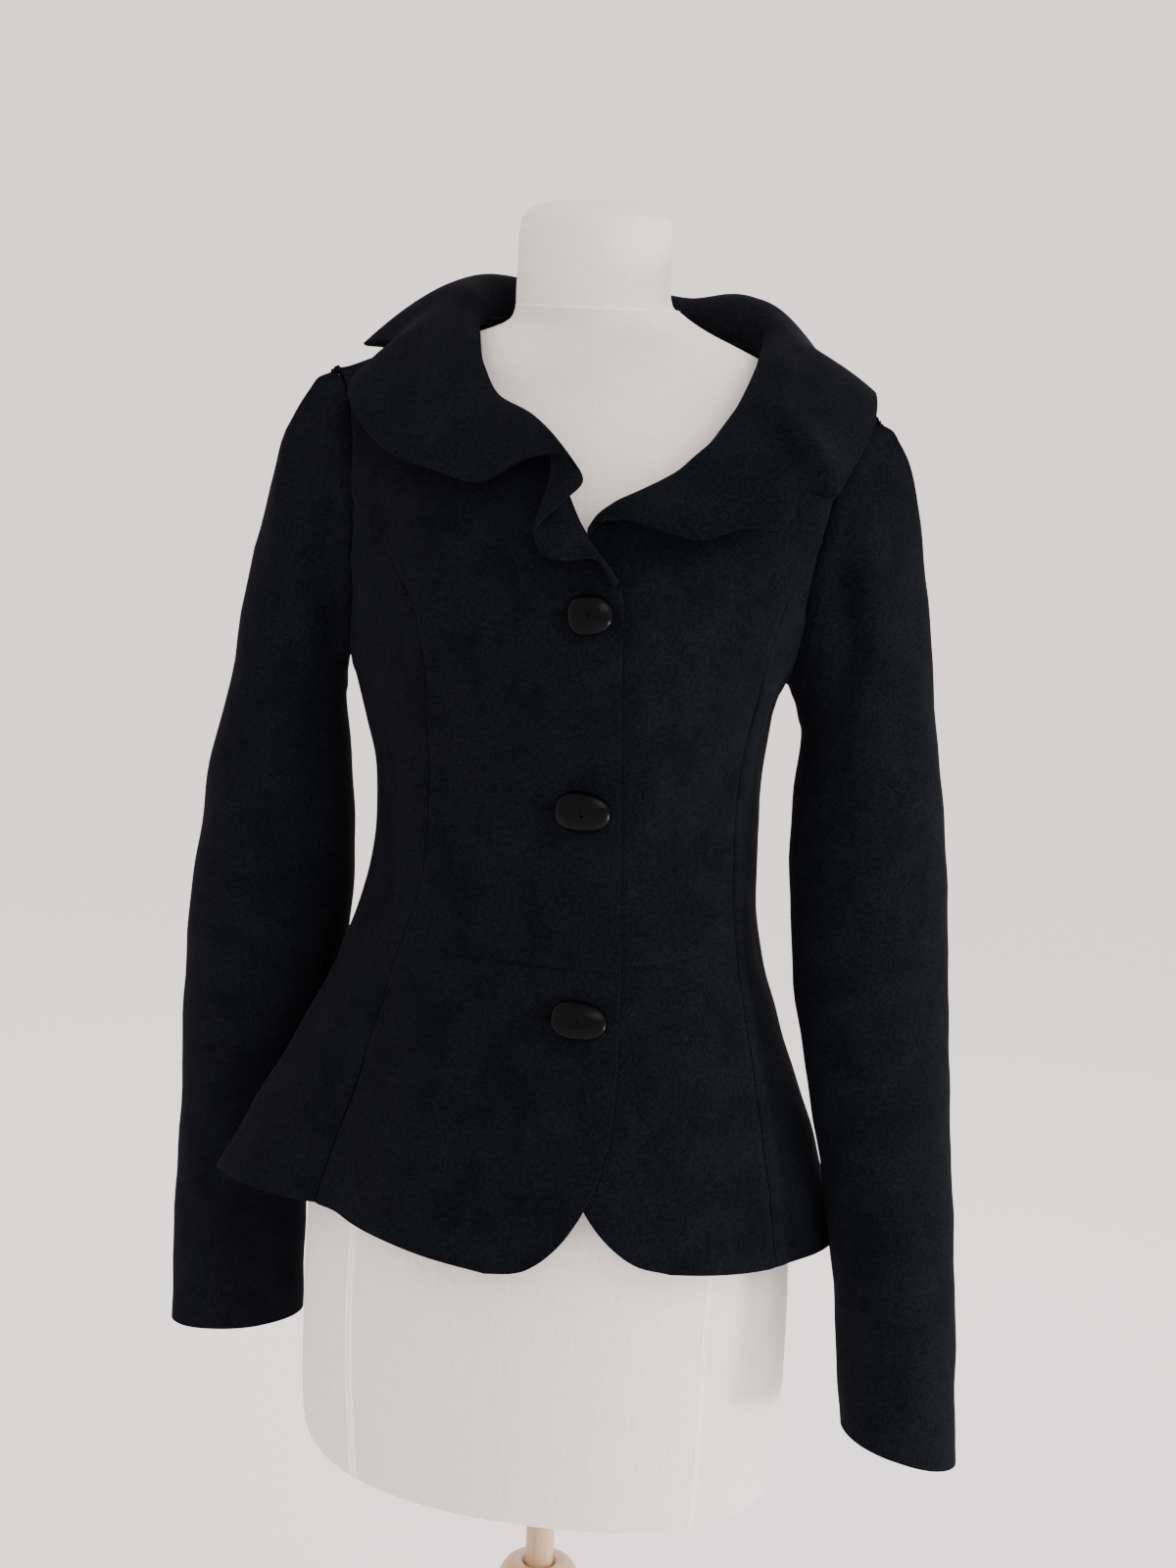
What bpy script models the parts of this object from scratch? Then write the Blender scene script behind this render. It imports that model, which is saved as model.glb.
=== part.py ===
"""A fitted jacket of felted wool with a ruffled collar, on a limbless dress form with a turned stand.

Metres, +Z up, floor at z = 0. The form's neck stands on the Z axis and the jacket faces -Y, so +X is
the wearer's left. Every figure section is laid out square and then sheared by TURN, because the form
stands turned a little towards -X.
"""
import math

import bpy
import numpy as np

UP = np.array([0.0, 0.0, 1.0])

# Cloth
WALL = 0.0022
SEAM_GAP = 0.0003
SEAM_SHARE = 0.7           # of the gap that each of the two pieces gives up
CAP_GAP = 0.0014           # sleeve head to armhole, whose walls meet at an angle
SHOULDER_PART = 0.0006     # each side of the shoulder seam, where the walls meet at an angle
OVERLAP_LIFT = 0.0038      # the upper front lies this far out where it laps over the under front
LAP_EASE = {"before": 0.042, "over": 0.026}   # where it starts to rise, and over what width
TURN = 0.17                # fall of y for each metre of x
ROUNDNESS = 2.15           # exponent of the jacket's level sections
# levels over which the walls turn upright towards the shoulder seam, and their lean outwards there
UPRIGHT = {"from": 0.80, "over": 0.15, "last_curved": 0.93, "lean": 0.3}

# Jacket body
CHEST_Z = 1.190
BELOW_CHEST = 0.27         # metres of height for one unit of level below the chest line
DOME_FALL = 1.3            # how fast the shoulders curve in above the chest line
SHOULDER_TIP = {"left": 0.168, "right": 0.184}
CENTRE_X = 0.016           # the buttoned centre line up to LEAN_Z
LEAN_Z = 1.000
LEAN = -0.045              # x of the centre line for each metre above LEAN_Z
HALF_LAP = 0.019
CORNER = {"width": 0.077, "top_z": 0.934}

# z, left and right half widths, front and back depths
BODY = [
    (0.795, 0.183, 0.180, 0.140, 0.150),
    (0.830, 0.178, 0.175, 0.137, 0.145),
    (0.875, 0.171, 0.164, 0.131, 0.136),
    (0.916, 0.161, 0.152, 0.124, 0.126),
    (0.962, 0.150, 0.137, 0.114, 0.112),
    (1.000, 0.142, 0.127, 0.106, 0.100),
    (1.040, 0.131, 0.122, 0.100, 0.092),
    (1.080, 0.129, 0.122, 0.099, 0.091),
    (1.120, 0.134, 0.123, 0.103, 0.096),
    (1.155, 0.144, 0.127, 0.111, 0.102),
    (1.190, 0.153, 0.141, 0.118, 0.106),
]

# how the flutes of the skirt deepen downwards and how sharp their crowns are
FLUTE_FALL = {"height": 0.21, "power": 1.4}
FLUTE_CROWN = 0.8
# flutes of the flared skirt: angle, spread towards the front, spread towards the back, depth at the
# hem, height where it starts
FLUTES = [
    (-83, 30, 10, 0.056, 1.02),
    (84, 30, 22, 0.012, 1.00),
    (126, 20, 20, 0.010, 0.98),
    (160, 17, 17, 0.014, 0.99),
    (-164, 17, 17, 0.013, 0.99),
    (-30, 24, 24, 0.004, 0.96),
    (40, 24, 24, 0.004, 0.96),
]

# hem height round the figure: angle, z
HEM = [(-180, 0.812), (-120, 0.812), (-83, 0.820), (-60, 0.811), (-20, 0.807), (30, 0.816),
       (55, 0.814), (90, 0.812), (130, 0.812), (180, 0.812)]

# ridge over the shoulders, carried on over the neck as if it were closed: x, z
RIDGE = [(-0.168, 1.357), (-0.120, 1.374), (-0.077, 1.391), (-0.040, 1.420), (0.000, 1.437),
         (0.045, 1.430), (0.085, 1.400), (0.109, 1.381), (0.150, 1.358), (0.184, 1.341)]

# front princess seam: z, distance out on the left and on the right
PRINCESS = [(0.805, 0.156, 0.142), (0.860, 0.146, 0.136), (0.901, 0.134, 0.129),
            (0.950, 0.121, 0.120), (0.984, 0.112, 0.113), (1.013, 0.101, 0.108),
            (1.054, 0.091, 0.104), (1.108, 0.091, 0.104), (1.150, 0.093, 0.109),
            (1.190, 0.096, 0.115)]
BACK_PRINCESS = [(0.805, 0.106, 0.112), (0.900, 0.085, 0.090), (1.000, 0.066, 0.070),
                 (1.060, 0.062, 0.066), (1.120, 0.070, 0.074), (1.190, 0.086, 0.090)]

# necklines: x, z. The left one starts at the top of the upper front's edge
NECK_LEFT = [(0.024, 1.243), (0.010, 1.256), (-0.006, 1.282), (-0.014, 1.305), (-0.032, 1.325),
             (-0.053, 1.342), (-0.066, 1.362), (-0.072, 1.3945)]
NECK_RIGHT = [(-0.014, 1.240), (-0.006, 1.257), (0.002, 1.270), (0.010, 1.284), (0.029, 1.293),
              (0.053, 1.305), (0.074, 1.324), (0.091, 1.347), (0.101, 1.367), (0.107, 1.3826)]
NECK_BACK = [(-0.072, 1.3945), (-0.056, 1.396), (-0.028, 1.392), (0.016, 1.388), (0.060, 1.388),
             (0.092, 1.388), (0.107, 1.3826)]

# rows of the panels: shares of the way from the hem to the top of the cut-away corner, then heights
ROW_SHARES = (0.0, 0.05, 0.19, 0.41, 0.69, 1.0)
ROW_HEIGHTS = (0.965, 1.000, 1.040, 1.080, 1.120, 1.155, 1.190)
# rows from the chest line up the princess seam to the armhole, as (share of the way) steps
PRINCESS_STEPS = (0.35, 0.70, 1.0)
PRINCESS_BEND = 1.8
ARMHOLE_ROWS = 5
CHEST_ROWS = len(PRINCESS_STEPS) + ARMHOLE_ROWS
FRONT_COLUMNS = 8
SIDE_COLUMNS = 5
BACK_COLUMNS = {"neck": 4, "shoulder": 4}

# armholes: turn of the seam towards the front and the back, level of the underarm, and the
# places along it where the princess seams run in
ARMHOLE = {"front": 25.0, "back": 21.0, "under": -0.067, "princess": 0.58, "back_princess": 0.52}

# sleeves: z, centre x, half width, centre y, half depth
SLEEVE_LEFT = [
    (1.140, -0.193, 0.040, 0.034, 0.045),
    (1.095, -0.197, 0.048, 0.042, 0.047),
    (1.050, -0.199, 0.052, 0.052, 0.047),
    (1.000, -0.204, 0.056, 0.064, 0.046),
    (0.920, -0.2135, 0.0535, 0.080, 0.044),
    (0.850, -0.2225, 0.0465, 0.090, 0.042),
    (0.775, -0.2255, 0.0475, 0.090, 0.040),
    (0.715, -0.2265, 0.0475, 0.088, 0.037),
    (0.681, -0.2265, 0.0470, 0.086, 0.035),
]
SLEEVE_RIGHT = [
    (1.140, 0.189, 0.044, -0.032, 0.045),
    (1.100, 0.191, 0.049, -0.034, 0.047),
    (1.050, 0.194, 0.051, -0.038, 0.047),
    (0.980, 0.199, 0.050, -0.048, 0.046),
    (0.930, 0.205, 0.047, -0.058, 0.044),
    (0.870, 0.213, 0.043, -0.071, 0.042),
    (0.800, 0.221, 0.040, -0.085, 0.040),
    (0.740, 0.226, 0.039, -0.094, 0.037),
    (0.691, 0.2295, 0.0385, -0.100, 0.035),
]
CAP_STEPS = (0.0, 0.10, 0.26, 0.46, 0.72)
# how the sleeve head leaves the armhole and runs into the first row below
CAP_START = {"out": 0.46, "down": 0.20}
CAP_END = {"out": 0.16, "down": 1.0}
CUFF_FROM = 5              # the row from which the sleeve tilts towards its cuff
CUFF_TILT = {"left": 0.10, "right": -0.28}   # rise of the cuff for each metre towards the inside

# Form, turned with the jacket: z, half width, front depth, back depth, exponent of the section
FORM = [
    (0.622, 0.148, 0.104, 0.104, 2.17),
    (0.628, 0.159, 0.112, 0.112, 2.17),
    (0.648, 0.1645, 0.117, 0.117, 2.17),
    (0.710, 0.1655, 0.119, 0.120, 2.17),
    (0.790, 0.1640, 0.119, 0.120, 2.17),
    (0.860, 0.1570, 0.114, 0.115, 2.17),
    (0.920, 0.1450, 0.106, 0.106, 2.17),
    (0.980, 0.1280, 0.096, 0.092, 2.17),
    (1.040, 0.1130, 0.086, 0.079, 2.17),
    (1.080, 0.1120, 0.086, 0.078, 2.17),
    (1.130, 0.1180, 0.093, 0.085, 2.17),
    (1.190, 0.1320, 0.104, 0.093, 2.17),
    (1.240, 0.1400, 0.100, 0.088, 2.1),
    (1.280, 0.1450, 0.086, 0.078, 2.0),
    (1.310, 0.1480, 0.072, 0.066, 1.9),
    (1.335, 0.1490, 0.057, 0.054, 1.75),
    (1.352, 0.1440, 0.049, 0.049, 1.6),
    (1.366, 0.1295, 0.047, 0.048, 1.4),
    (1.380, 0.0965, 0.047, 0.048, 1.4),
    (1.393, 0.0645, 0.0480, 0.0480, 1.7),
    (1.403, 0.0530, 0.0485, 0.0485, 2.0),
    (1.412, 0.0490, 0.0485, 0.0485, 2.0),
    (1.452, 0.0480, 0.0480, 0.0480, 2.0),
    (1.464, 0.0430, 0.0430, 0.0430, 2.0),
    (1.470, 0.0300, 0.0300, 0.0300, 2.0),
]
# x of the form's middle: z, x
FORM_CENTRE = [(0.622, -0.006), (1.050, -0.006), (1.300, 0.002), (1.366, -0.001), (1.380, 0.004),
               (1.393, 0.008), (1.412, 0.0)]
FORM_POINTS = 32

# Stand
POLE_RADIUS = 0.0098
POLE_Z = (0.512, 0.6215)
# turned profiles: radius, z, from the top of the outside down
HUB = [(0.0125, 0.541), (0.0200, 0.541), (0.0255, 0.536), (0.0290, 0.526), (0.0280, 0.514),
       (0.0220, 0.504), (0.0200, 0.496), (0.0225, 0.488), (0.0210, 0.480)]
COLUMN = [(0.019, 0.4797), (0.0185, 0.460), (0.016, 0.430), (0.016, 0.300), (0.019, 0.200),
          (0.024, 0.120), (0.027, 0.070), (0.034, 0.052), (0.034, 0.0303)]
BASE = [(0.050, 0.030), (0.110, 0.0285), (0.165, 0.024), (0.183, 0.018), (0.188, 0.010),
        (0.186, 0.000)]
BORE = {"radius": 0.0102, "floor_z": 0.511, "mouth_z": 0.5385}

# Buttons: name, x, z, half width, half height, turn in degrees, how far the flat facets of the
# cloth lie behind its curve there
BUTTONS = [
    ("button_top", 0.007, 1.2245, 0.0140, 0.0126, 8, 0.0010),
    ("button_middle", 0.008, 1.102, 0.0175, 0.0131, -4, 0.0),
    ("button_bottom", 0.011, 0.9715, 0.0178, 0.0124, -6, 0.0),
]
# rings of a button from its shank to its peak: share of the full outline, height off the cloth
BUTTON_RINGS = [(0.24, 0.0004), (0.24, 0.0022), (0.80, 0.0024), (0.97, 0.0040), (1.0, 0.0055),
                (0.93, 0.0080), (0.72, 0.0103), (0.42, 0.0120), (0.16, 0.0126)]
BUTTON_POINTS = 20
BUTTON_ROUNDNESS = 0.85    # power of the outline's sine and cosine
BUTTON_TAPER = 0.10        # the outline is lower on the right
SHANK_SHARE = 0.3          # rings smaller than this are round

# Collar, one row for each fold: place along the neckline seam (0 at the lower end of the upper
# front, 1 at the lower end of the under front), rise of the roll above the seam, then the outer
# edge's x, y before the turn, z, and how far the fall bulges out between them
COLLAR = [
    (0.000, 0.002, 0.021, -0.1245, 1.2430, 0.000),
    (0.025, 0.004, 0.010, -0.1290, 1.2590, 0.002),
    (0.050, 0.006, -0.010, -0.1305, 1.2570, 0.005),
    (0.080, 0.008, -0.025, -0.1285, 1.2610, 0.005),
    (0.105, 0.009, -0.028, -0.1280, 1.2740, 0.005),
    (0.130, 0.010, -0.014, -0.1340, 1.2900, 0.006),
    (0.155, 0.010, -0.001, -0.1380, 1.3050, 0.009),
    (0.180, 0.011, -0.013, -0.1350, 1.3190, 0.012),
    (0.205, 0.011, -0.035, -0.1180, 1.3150, 0.012),
    (0.235, 0.010, -0.063, -0.1050, 1.2990, 0.009),
    (0.270, 0.010, -0.096, -0.0970, 1.3050, 0.009),
    (0.300, 0.010, -0.122, -0.0880, 1.3130, 0.008),
    (0.325, 0.011, -0.142, -0.0700, 1.3300, 0.007),
    (0.350, 0.013, -0.151, -0.0400, 1.3530, 0.006),
    (0.370, 0.024, -0.128, 0.0020, 1.3775, 0.003),
    (0.392, 0.035, -0.150, 0.0300, 1.3755, 0.002),
    (0.420, 0.045, -0.122, 0.0850, 1.3700, 0.008),
    (0.450, 0.049, -0.086, 0.1230, 1.3450, 0.014),
    (0.480, 0.047, -0.052, 0.1480, 1.3580, 0.014),
    (0.510, 0.045, -0.018, 0.1400, 1.3300, 0.014),
    (0.540, 0.045, 0.018, 0.1500, 1.3480, 0.014),
    (0.570, 0.046, 0.056, 0.1400, 1.3260, 0.014),
    (0.600, 0.047, 0.092, 0.1320, 1.3480, 0.012),
    (0.630, 0.047, 0.126, 0.1020, 1.3460, 0.010),
    (0.655, 0.038, 0.150, 0.0640, 1.3640, 0.008),
    (0.680, 0.028, 0.168, 0.0260, 1.3550, 0.005),
    (0.705, 0.020, 0.178, -0.0080, 1.3610, 0.004),
    (0.730, 0.017, 0.174, -0.0480, 1.3410, 0.006),
    (0.755, 0.015, 0.158, -0.0850, 1.3150, 0.010),
    (0.780, 0.014, 0.147, -0.1080, 1.3010, 0.015),
    (0.805, 0.013, 0.132, -0.1030, 1.3000, 0.008),
    (0.830, 0.012, 0.117, -0.1160, 1.2830, 0.010),
    (0.860, 0.012, 0.095, -0.1160, 1.2810, 0.010),
    (0.890, 0.010, 0.072, -0.1255, 1.2740, 0.009),
    (0.925, 0.008, 0.050, -0.1265, 1.2770, 0.007),
    (0.960, 0.006, 0.028, -0.1225, 1.2820, 0.004),
    (0.975, 0.003, 0.014, -0.1190, 1.2845, 0.001),
]
# how far the roll leans out from the neck for each metre that it rises: place, lean
COLLAR_LEAN = [(0.0, -0.3), (0.30, -0.3), (0.40, 0.35), (0.60, 0.35), (0.70, -0.2), (1.0, -0.4)]
# the collar's seam above and outside the neckline, and the pull of its curve at the roll and the fall
COLLAR_CLEAR = {"up": 0.0009, "out": 0.0012}
COLLAR_ROLL = 1.3
COLLAR_FALL = 0.6
COLLAR_BULGE = 1.2
NECK_POINTS = 14           # along each part of the neckline
COLLAR_COLUMNS = 110
COLLAR_ROWS = 6


def clear_scene():
    for old in list(bpy.data.objects):
        bpy.data.objects.remove(old, do_unlink=True)


def column(table, at, index):
    """The value of one column of a table, read between its rows at the given first value."""
    keys = [row[0] for row in table]
    return float(np.interp(at, keys, [row[index] for row in table]))


def smoothstep(value):
    value = min(1.0, max(0.0, value))
    return value * value * (3 - 2 * value)


def signed_power(value, exponent):
    return math.copysign(abs(value) ** exponent, value)


def turned(x, y, z):
    return (x, y - TURN * x, z)


def ridge_z(x):
    return column(RIDGE, x, 1)


def flute(angle, z):
    """How far the flared skirt stands out of its plain section."""
    out = 0.0
    for centre, front, back, depth, top in FLUTES:
        away = (angle - centre + 180) % 360 - 180
        towards_front = (away > 0) == (centre < 0)
        spread = front if towards_front else back
        if abs(away) < spread and z < top:
            grown = ((top - z) / FLUTE_FALL["height"]) ** FLUTE_FALL["power"]
            out += depth * grown * smoothstep(1 - abs(away) / spread) ** FLUTE_CROWN
    return out


def body_point(angle, level):
    """A point of the jacket's outer skin. The angle is 0 at the front and 90 on the right of the
    view; the level is 0 at the chest, 1 along the shoulder ridge and below 0 under the chest."""
    turn = math.radians(angle)
    across = signed_power(math.sin(turn), 2 / ROUNDNESS)
    along = signed_power(math.cos(turn), 2 / ROUNDNESS)
    side = 1 if across < 0 else 2
    depth_column = 3 if along > 0 else 4
    if level <= 0:
        z = CHEST_Z + BELOW_CHEST * level
        x = across * column(BODY, z, side)
        y = -along * column(BODY, z, depth_column)
        out = flute(angle, z)
        x += out * math.sin(turn)
        y -= out * math.cos(turn)
    else:
        rise = math.radians(90 * min(level, 1.0))
        chest = BODY[-1]
        tip = SHOULDER_TIP["left" if side == 1 else "right"]
        x = across * (chest[side] + (tip - chest[side]) * math.sin(rise))
        z = CHEST_Z + (ridge_z(x) - CHEST_Z) * math.sin(rise)
        y = -along * chest[depth_column] * max(0.0, math.cos(rise)) ** DOME_FALL
    return turned(x, y, z)


def level_of(z):
    return (z - CHEST_Z) / BELOW_CHEST


def angle_at(x, level, front=True):
    """The angle whose point at this level has the given x."""
    side = 1 if x < 0 else 2
    half = column(BODY, CHEST_Z + BELOW_CHEST * level, side) if level <= 0 else None
    if half is None:
        chest = BODY[-1]
        tip = SHOULDER_TIP["left" if side == 1 else "right"]
        half = chest[side] + (tip - chest[side]) * math.sin(math.radians(90 * min(level, 1.0)))
    share = min(1.0, abs(x) / half) ** (ROUNDNESS / 2)
    angle = math.copysign(math.degrees(math.asin(share)), x)
    return angle if front else (180 - angle if x >= 0 else -180 - angle)


def dome_level(x, z):
    """The level of a point above the chest line, from its x and height."""
    if z <= CHEST_Z:
        return level_of(z)
    share = min(1.0, (z - CHEST_Z) / (ridge_z(x) - CHEST_Z))
    return math.degrees(math.asin(share)) / 90


def on_dome(x, z, front=True):
    level = dome_level(x, z)
    return angle_at(x, level, front), level


def hem_z(angle):
    return column(HEM, angle, 1)


def armhole(side, share, front=True):
    """The armhole seam from the shoulder tip (0) to the underarm (1)."""
    sign = -1 if side == "left" else 1
    level = 1 + (ARMHOLE["under"] - 1) * (1 - math.cos(math.pi * share)) / 2
    swing = ARMHOLE["front" if front else "back"] * math.sin(math.pi * share) ** 0.8
    angle = sign * (90 - swing) if front else sign * (90 + swing)
    return angle, level


def skirt_rows(angle):
    """The levels of the lower rows at an angle: curved to the hem, then level up to the chest."""
    hem = hem_z(angle)
    rows = [level_of(hem + (CORNER["top_z"] - hem) * share) for share in ROW_SHARES]
    return rows + [level_of(z) for z in ROW_HEIGHTS]


def princess(side, front=True):
    """The seam from the hem up to the chest line, then on to the armhole."""
    sign = -1 if side == "left" else 1
    table = PRINCESS if front else BACK_PRINCESS
    index = 1 if side == "left" else 2
    guess = angle_at(sign * table[0][index], level_of(CORNER["top_z"]), front)
    points = []
    for level in skirt_rows(guess):
        x = sign * column(table, CHEST_Z + BELOW_CHEST * level, index)
        points.append((angle_at(x, level, front), level))
    share = ARMHOLE["princess" if front else "back_princess"]
    end_angle, end_level = armhole(side, share, front)
    start = points[-1][0]
    for step in PRINCESS_STEPS:
        points.append((start + (end_angle - start) * step ** PRINCESS_BEND, end_level * step))
    return points


def side_seam(side):
    sign = -1 if side == "left" else 1
    points = [(sign * 90.0, level) for level in skirt_rows(sign * 90)[:-1]]
    return points + [(sign * 90.0, ARMHOLE["under"])]


def centre_x(z):
    return CENTRE_X + LEAN * max(0.0, z - LEAN_Z)


def front_edge(side):
    """The cut-away corner, the straight edge and the neckline, from the hem up."""
    sign = 1 if side == "left" else -1
    edge_x = CENTRE_X + sign * HALF_LAP
    points = []
    for step in range(6):
        turn = math.radians(90 - 18 * step)
        corner_x = edge_x - sign * CORNER["width"] * (1 - math.cos(turn))
        hem = hem_z(-20 if side == "left" else 30)
        z = CORNER["top_z"] - (CORNER["top_z"] - hem) * math.sin(turn)
        points.append((angle_at(corner_x, level_of(z)), level_of(z)))
    for z in ROW_HEIGHTS:
        x = centre_x(z) + sign * HALF_LAP
        points.append((angle_at(x, level_of(z)), level_of(z)))
    return points


def neck_angles(table, count, front=True):
    """Evenly spread points of a neckline table, as angles and levels."""
    xs = np.array([row[0] for row in table])
    zs = np.array([row[1] for row in table])
    along = np.concatenate([[0], np.cumsum(np.hypot(np.diff(xs), np.diff(zs)))])
    wanted = np.linspace(0, along[-1], count)
    return [on_dome(float(np.interp(w, along, xs)), float(np.interp(w, along, zs)), front)
            for w in wanted]


def lapped(point):
    """Moves a point of the upper front out over the under front."""
    x, y, z = point
    share = smoothstep((x - (centre_x(z) - HALF_LAP) + LAP_EASE["before"]) / LAP_EASE["over"])
    return (x, y - OVERLAP_LIFT * share, z)


def grid_between(first, second, columns, top=None):
    """Rows of (angle, level) between two seams that have as many points each. A given top row
    draws the rows near it along."""
    rows = []
    for index, ((a0, l0), (a1, l1)) in enumerate(zip(first, second)):
        row = []
        for c in range(columns + 1):
            angle = a0 + (a1 - a0) * c / columns
            level = l0 + (l1 - l0) * c / columns
            if top:
                pull = (index / (len(first) - 1)) ** 4
                end = [first[-1][k] + (second[-1][k] - first[-1][k]) * c / columns for k in (0, 1)]
                angle += (top[c][0] - end[0]) * pull
                level += (top[c][1] - end[1]) * pull
            row.append((angle, level))
        rows.append(row)
    return rows


def body_normal(angle, level):
    """The outward normal of the jacket's skin, the same for both pieces that meet at a seam. It
    turns upright towards the shoulder ridge, so that the walls there lie side by side."""
    low = min(level, UPRIGHT["last_curved"])
    across = np.array(body_point(angle + 0.5, low)) - np.array(body_point(angle - 0.5, low))
    upward = np.array(body_point(angle, low + 0.01)) - np.array(body_point(angle, low - 0.01))
    normal = np.cross(across, upward)
    normal /= np.linalg.norm(normal)
    upright = smoothstep((level - UPRIGHT["from"]) / UPRIGHT["over"])
    side = UPRIGHT["lean"] if angle > 0 else -UPRIGHT["lean"]
    normal = normal * (1 - upright) + np.array((side, 0.0, 1.0)) * upright
    return normal / np.linalg.norm(normal)


def skin_normals(points):
    """Unit normals of a grid of points, by central differences."""
    along_rows = np.gradient(points, axis=0)
    along_columns = np.gradient(points, axis=1)
    normals = np.cross(along_columns, along_rows)
    lengths = np.linalg.norm(normals, axis=2, keepdims=True)
    return normals / np.maximum(lengths, 1e-9)


def material(name, colour, roughness):
    made = bpy.data.materials.get(name) or bpy.data.materials.new(name)
    made.use_nodes = True
    shader = made.node_tree.nodes["Principled BSDF"]
    shader.inputs["Base Color"].default_value = (*colour, 1)
    shader.inputs["Roughness"].default_value = roughness
    shader.inputs["Metallic"].default_value = 0
    return made


def add_object(name, points, faces, finish):
    mesh = bpy.data.meshes.new(name)
    mesh.from_pydata([tuple(p) for p in points], [], faces)
    mesh.update()
    made = bpy.data.objects.new(name, mesh)
    bpy.context.scene.collection.objects.link(made)
    mesh.materials.append(finish)
    mesh.shade_smooth()
    mesh.set_sharp_from_angle(angle=math.radians(50))
    return made


def wall_object(name, outer, inward, finish, closed=False):
    """A cloth wall: an outer grid, the same grid moved in, and rims round the free edges.

    A closed grid joins its last column to its first."""
    rows, columns = outer.shape[:2]
    inner = outer + inward * WALL
    points = np.concatenate([outer.reshape(-1, 3), inner.reshape(-1, 3)])
    inner_start = rows * columns
    faces = []

    def at(row, col):
        return row * columns + col % columns

    last = columns if closed else columns - 1
    for row in range(rows - 1):
        for col in range(last):
            quad = (at(row, col), at(row, col + 1), at(row + 1, col + 1), at(row + 1, col))
            faces.append(quad)
            faces.append(tuple(inner_start + i for i in reversed(quad)))
    for col in range(last):
        a, b = at(0, col), at(0, col + 1)
        faces.append((b, a, inner_start + a, inner_start + b))
        a, b = at(rows - 1, col), at(rows - 1, col + 1)
        faces.append((a, b, inner_start + b, inner_start + a))
    if not closed:
        for row in range(rows - 1):
            a, b = at(row, 0), at(row + 1, 0)
            faces.append((a, b, inner_start + b, inner_start + a))
            a, b = at(row, columns - 1), at(row + 1, columns - 1)
            faces.append((b, a, inner_start + a, inner_start + b))
    return add_object(name, points, faces, finish)


def panel(name, rows, finish, lap=False):
    """One cut piece of the body: its seams stand half a seam gap back from the pattern line."""
    points = np.array([[body_point(a, level) for a, level in row] for row in rows])
    if lap:
        points = np.array([[lapped(p) for p in row] for row in points])
    normals = np.array([[body_normal(a, level) for a, level in row] for row in rows])
    if rows[0][0][0] > rows[0][-1][0]:
        points = points[:, ::-1]
        normals = normals[:, ::-1]
    angles = np.array([[a for a, _ in row] for row in rows])
    away = 1 if np.abs(angles).mean() > 90 else -1
    levels = np.array([[level for _, level in row] for row in rows])
    if rows[0][0][0] > rows[0][-1][0]:
        levels = levels[:, ::-1]
    points[levels > UPRIGHT["last_curved"], 1] += away * SHOULDER_PART
    pull = SEAM_GAP * SEAM_SHARE
    for edge, inside in (((slice(None), 0), (slice(None), 1)), ((slice(None), -1), (slice(None), -2)),
                         ((0,), (1,)), ((-1,), (-2,))):
        towards = points[inside] - points[edge]
        length = np.linalg.norm(towards, axis=-1, keepdims=True)
        points[edge] = points[edge] + towards / length * pull
    return wall_object(name, points, -normals, finish)


def outer_seam(side, front):
    """The princess seam, then the armhole from where they meet up to the shoulder tip."""
    start = ARMHOLE["princess" if front else "back_princess"]
    above = [armhole(side, start * (1 - (step + 1) / ARMHOLE_ROWS), front)
             for step in range(ARMHOLE_ROWS)]
    return princess(side, front) + above


def front_panel(name, side, finish):
    neck = NECK_LEFT if side == "left" else NECK_RIGHT
    inner = front_edge(side) + neck_angles(neck, CHEST_ROWS)
    rows = grid_between(inner, outer_seam(side, True), FRONT_COLUMNS)
    return panel(name, rows, finish, lap=side == "left")


def back_panel(name, side, finish):
    sign = -1 if side == "left" else 1
    middle = on_dome(sign * 1e-6, float(np.interp(0, [r[0] for r in NECK_BACK],
                                                  [r[1] for r in NECK_BACK])), front=False)
    rows = skirt_rows(sign * 180)
    inner = [(sign * 180.0, level) for level in rows]
    inner += [(sign * 180.0, middle[1] * (step + 1) / CHEST_ROWS) for step in range(CHEST_ROWS)]
    neck = [row for row in NECK_BACK if row[0] * sign > 0]
    neck.sort(key=lambda row: abs(row[0]))
    neck_columns, shoulder_columns = BACK_COLUMNS["neck"], BACK_COLUMNS["shoulder"]
    top = [inner[-1]]
    for step in range(1, neck_columns + 1):
        x = neck[-1][0] * step / neck_columns
        z = float(np.interp(x, [r[0] for r in NECK_BACK], [r[1] for r in NECK_BACK]))
        top.append(on_dome(x, z, front=False))
    start = top[-1][0]
    for step in range(1, shoulder_columns + 1):
        top.append((start + (sign * 90 - start) * step / shoulder_columns, 1.0))
    columns = neck_columns + shoulder_columns
    return panel(name, grid_between(inner, outer_seam(side, False), columns, top), finish)


def side_panel(name, side, front, finish):
    """From the princess seam to the side seam, with the lower armhole as its top edge."""
    start = ARMHOLE["princess" if front else "back_princess"]
    columns = SIDE_COLUMNS
    seam = princess(side, front)
    edge = side_seam(side)
    rows = len(seam)
    keys = np.linspace(0, 1, len(edge))
    spread = np.concatenate([keys[:-1], [1.0]])
    wanted = np.linspace(0, 1, rows)
    edge = [(float(np.interp(w, spread, [e[0] for e in edge])),
             float(np.interp(w, spread, [e[1] for e in edge]))) for w in wanted]
    top = [armhole(side, start + (1 - start) * c / columns, front) for c in range(columns + 1)]
    return panel(name, grid_between(seam, edge, columns, top), finish)


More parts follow.
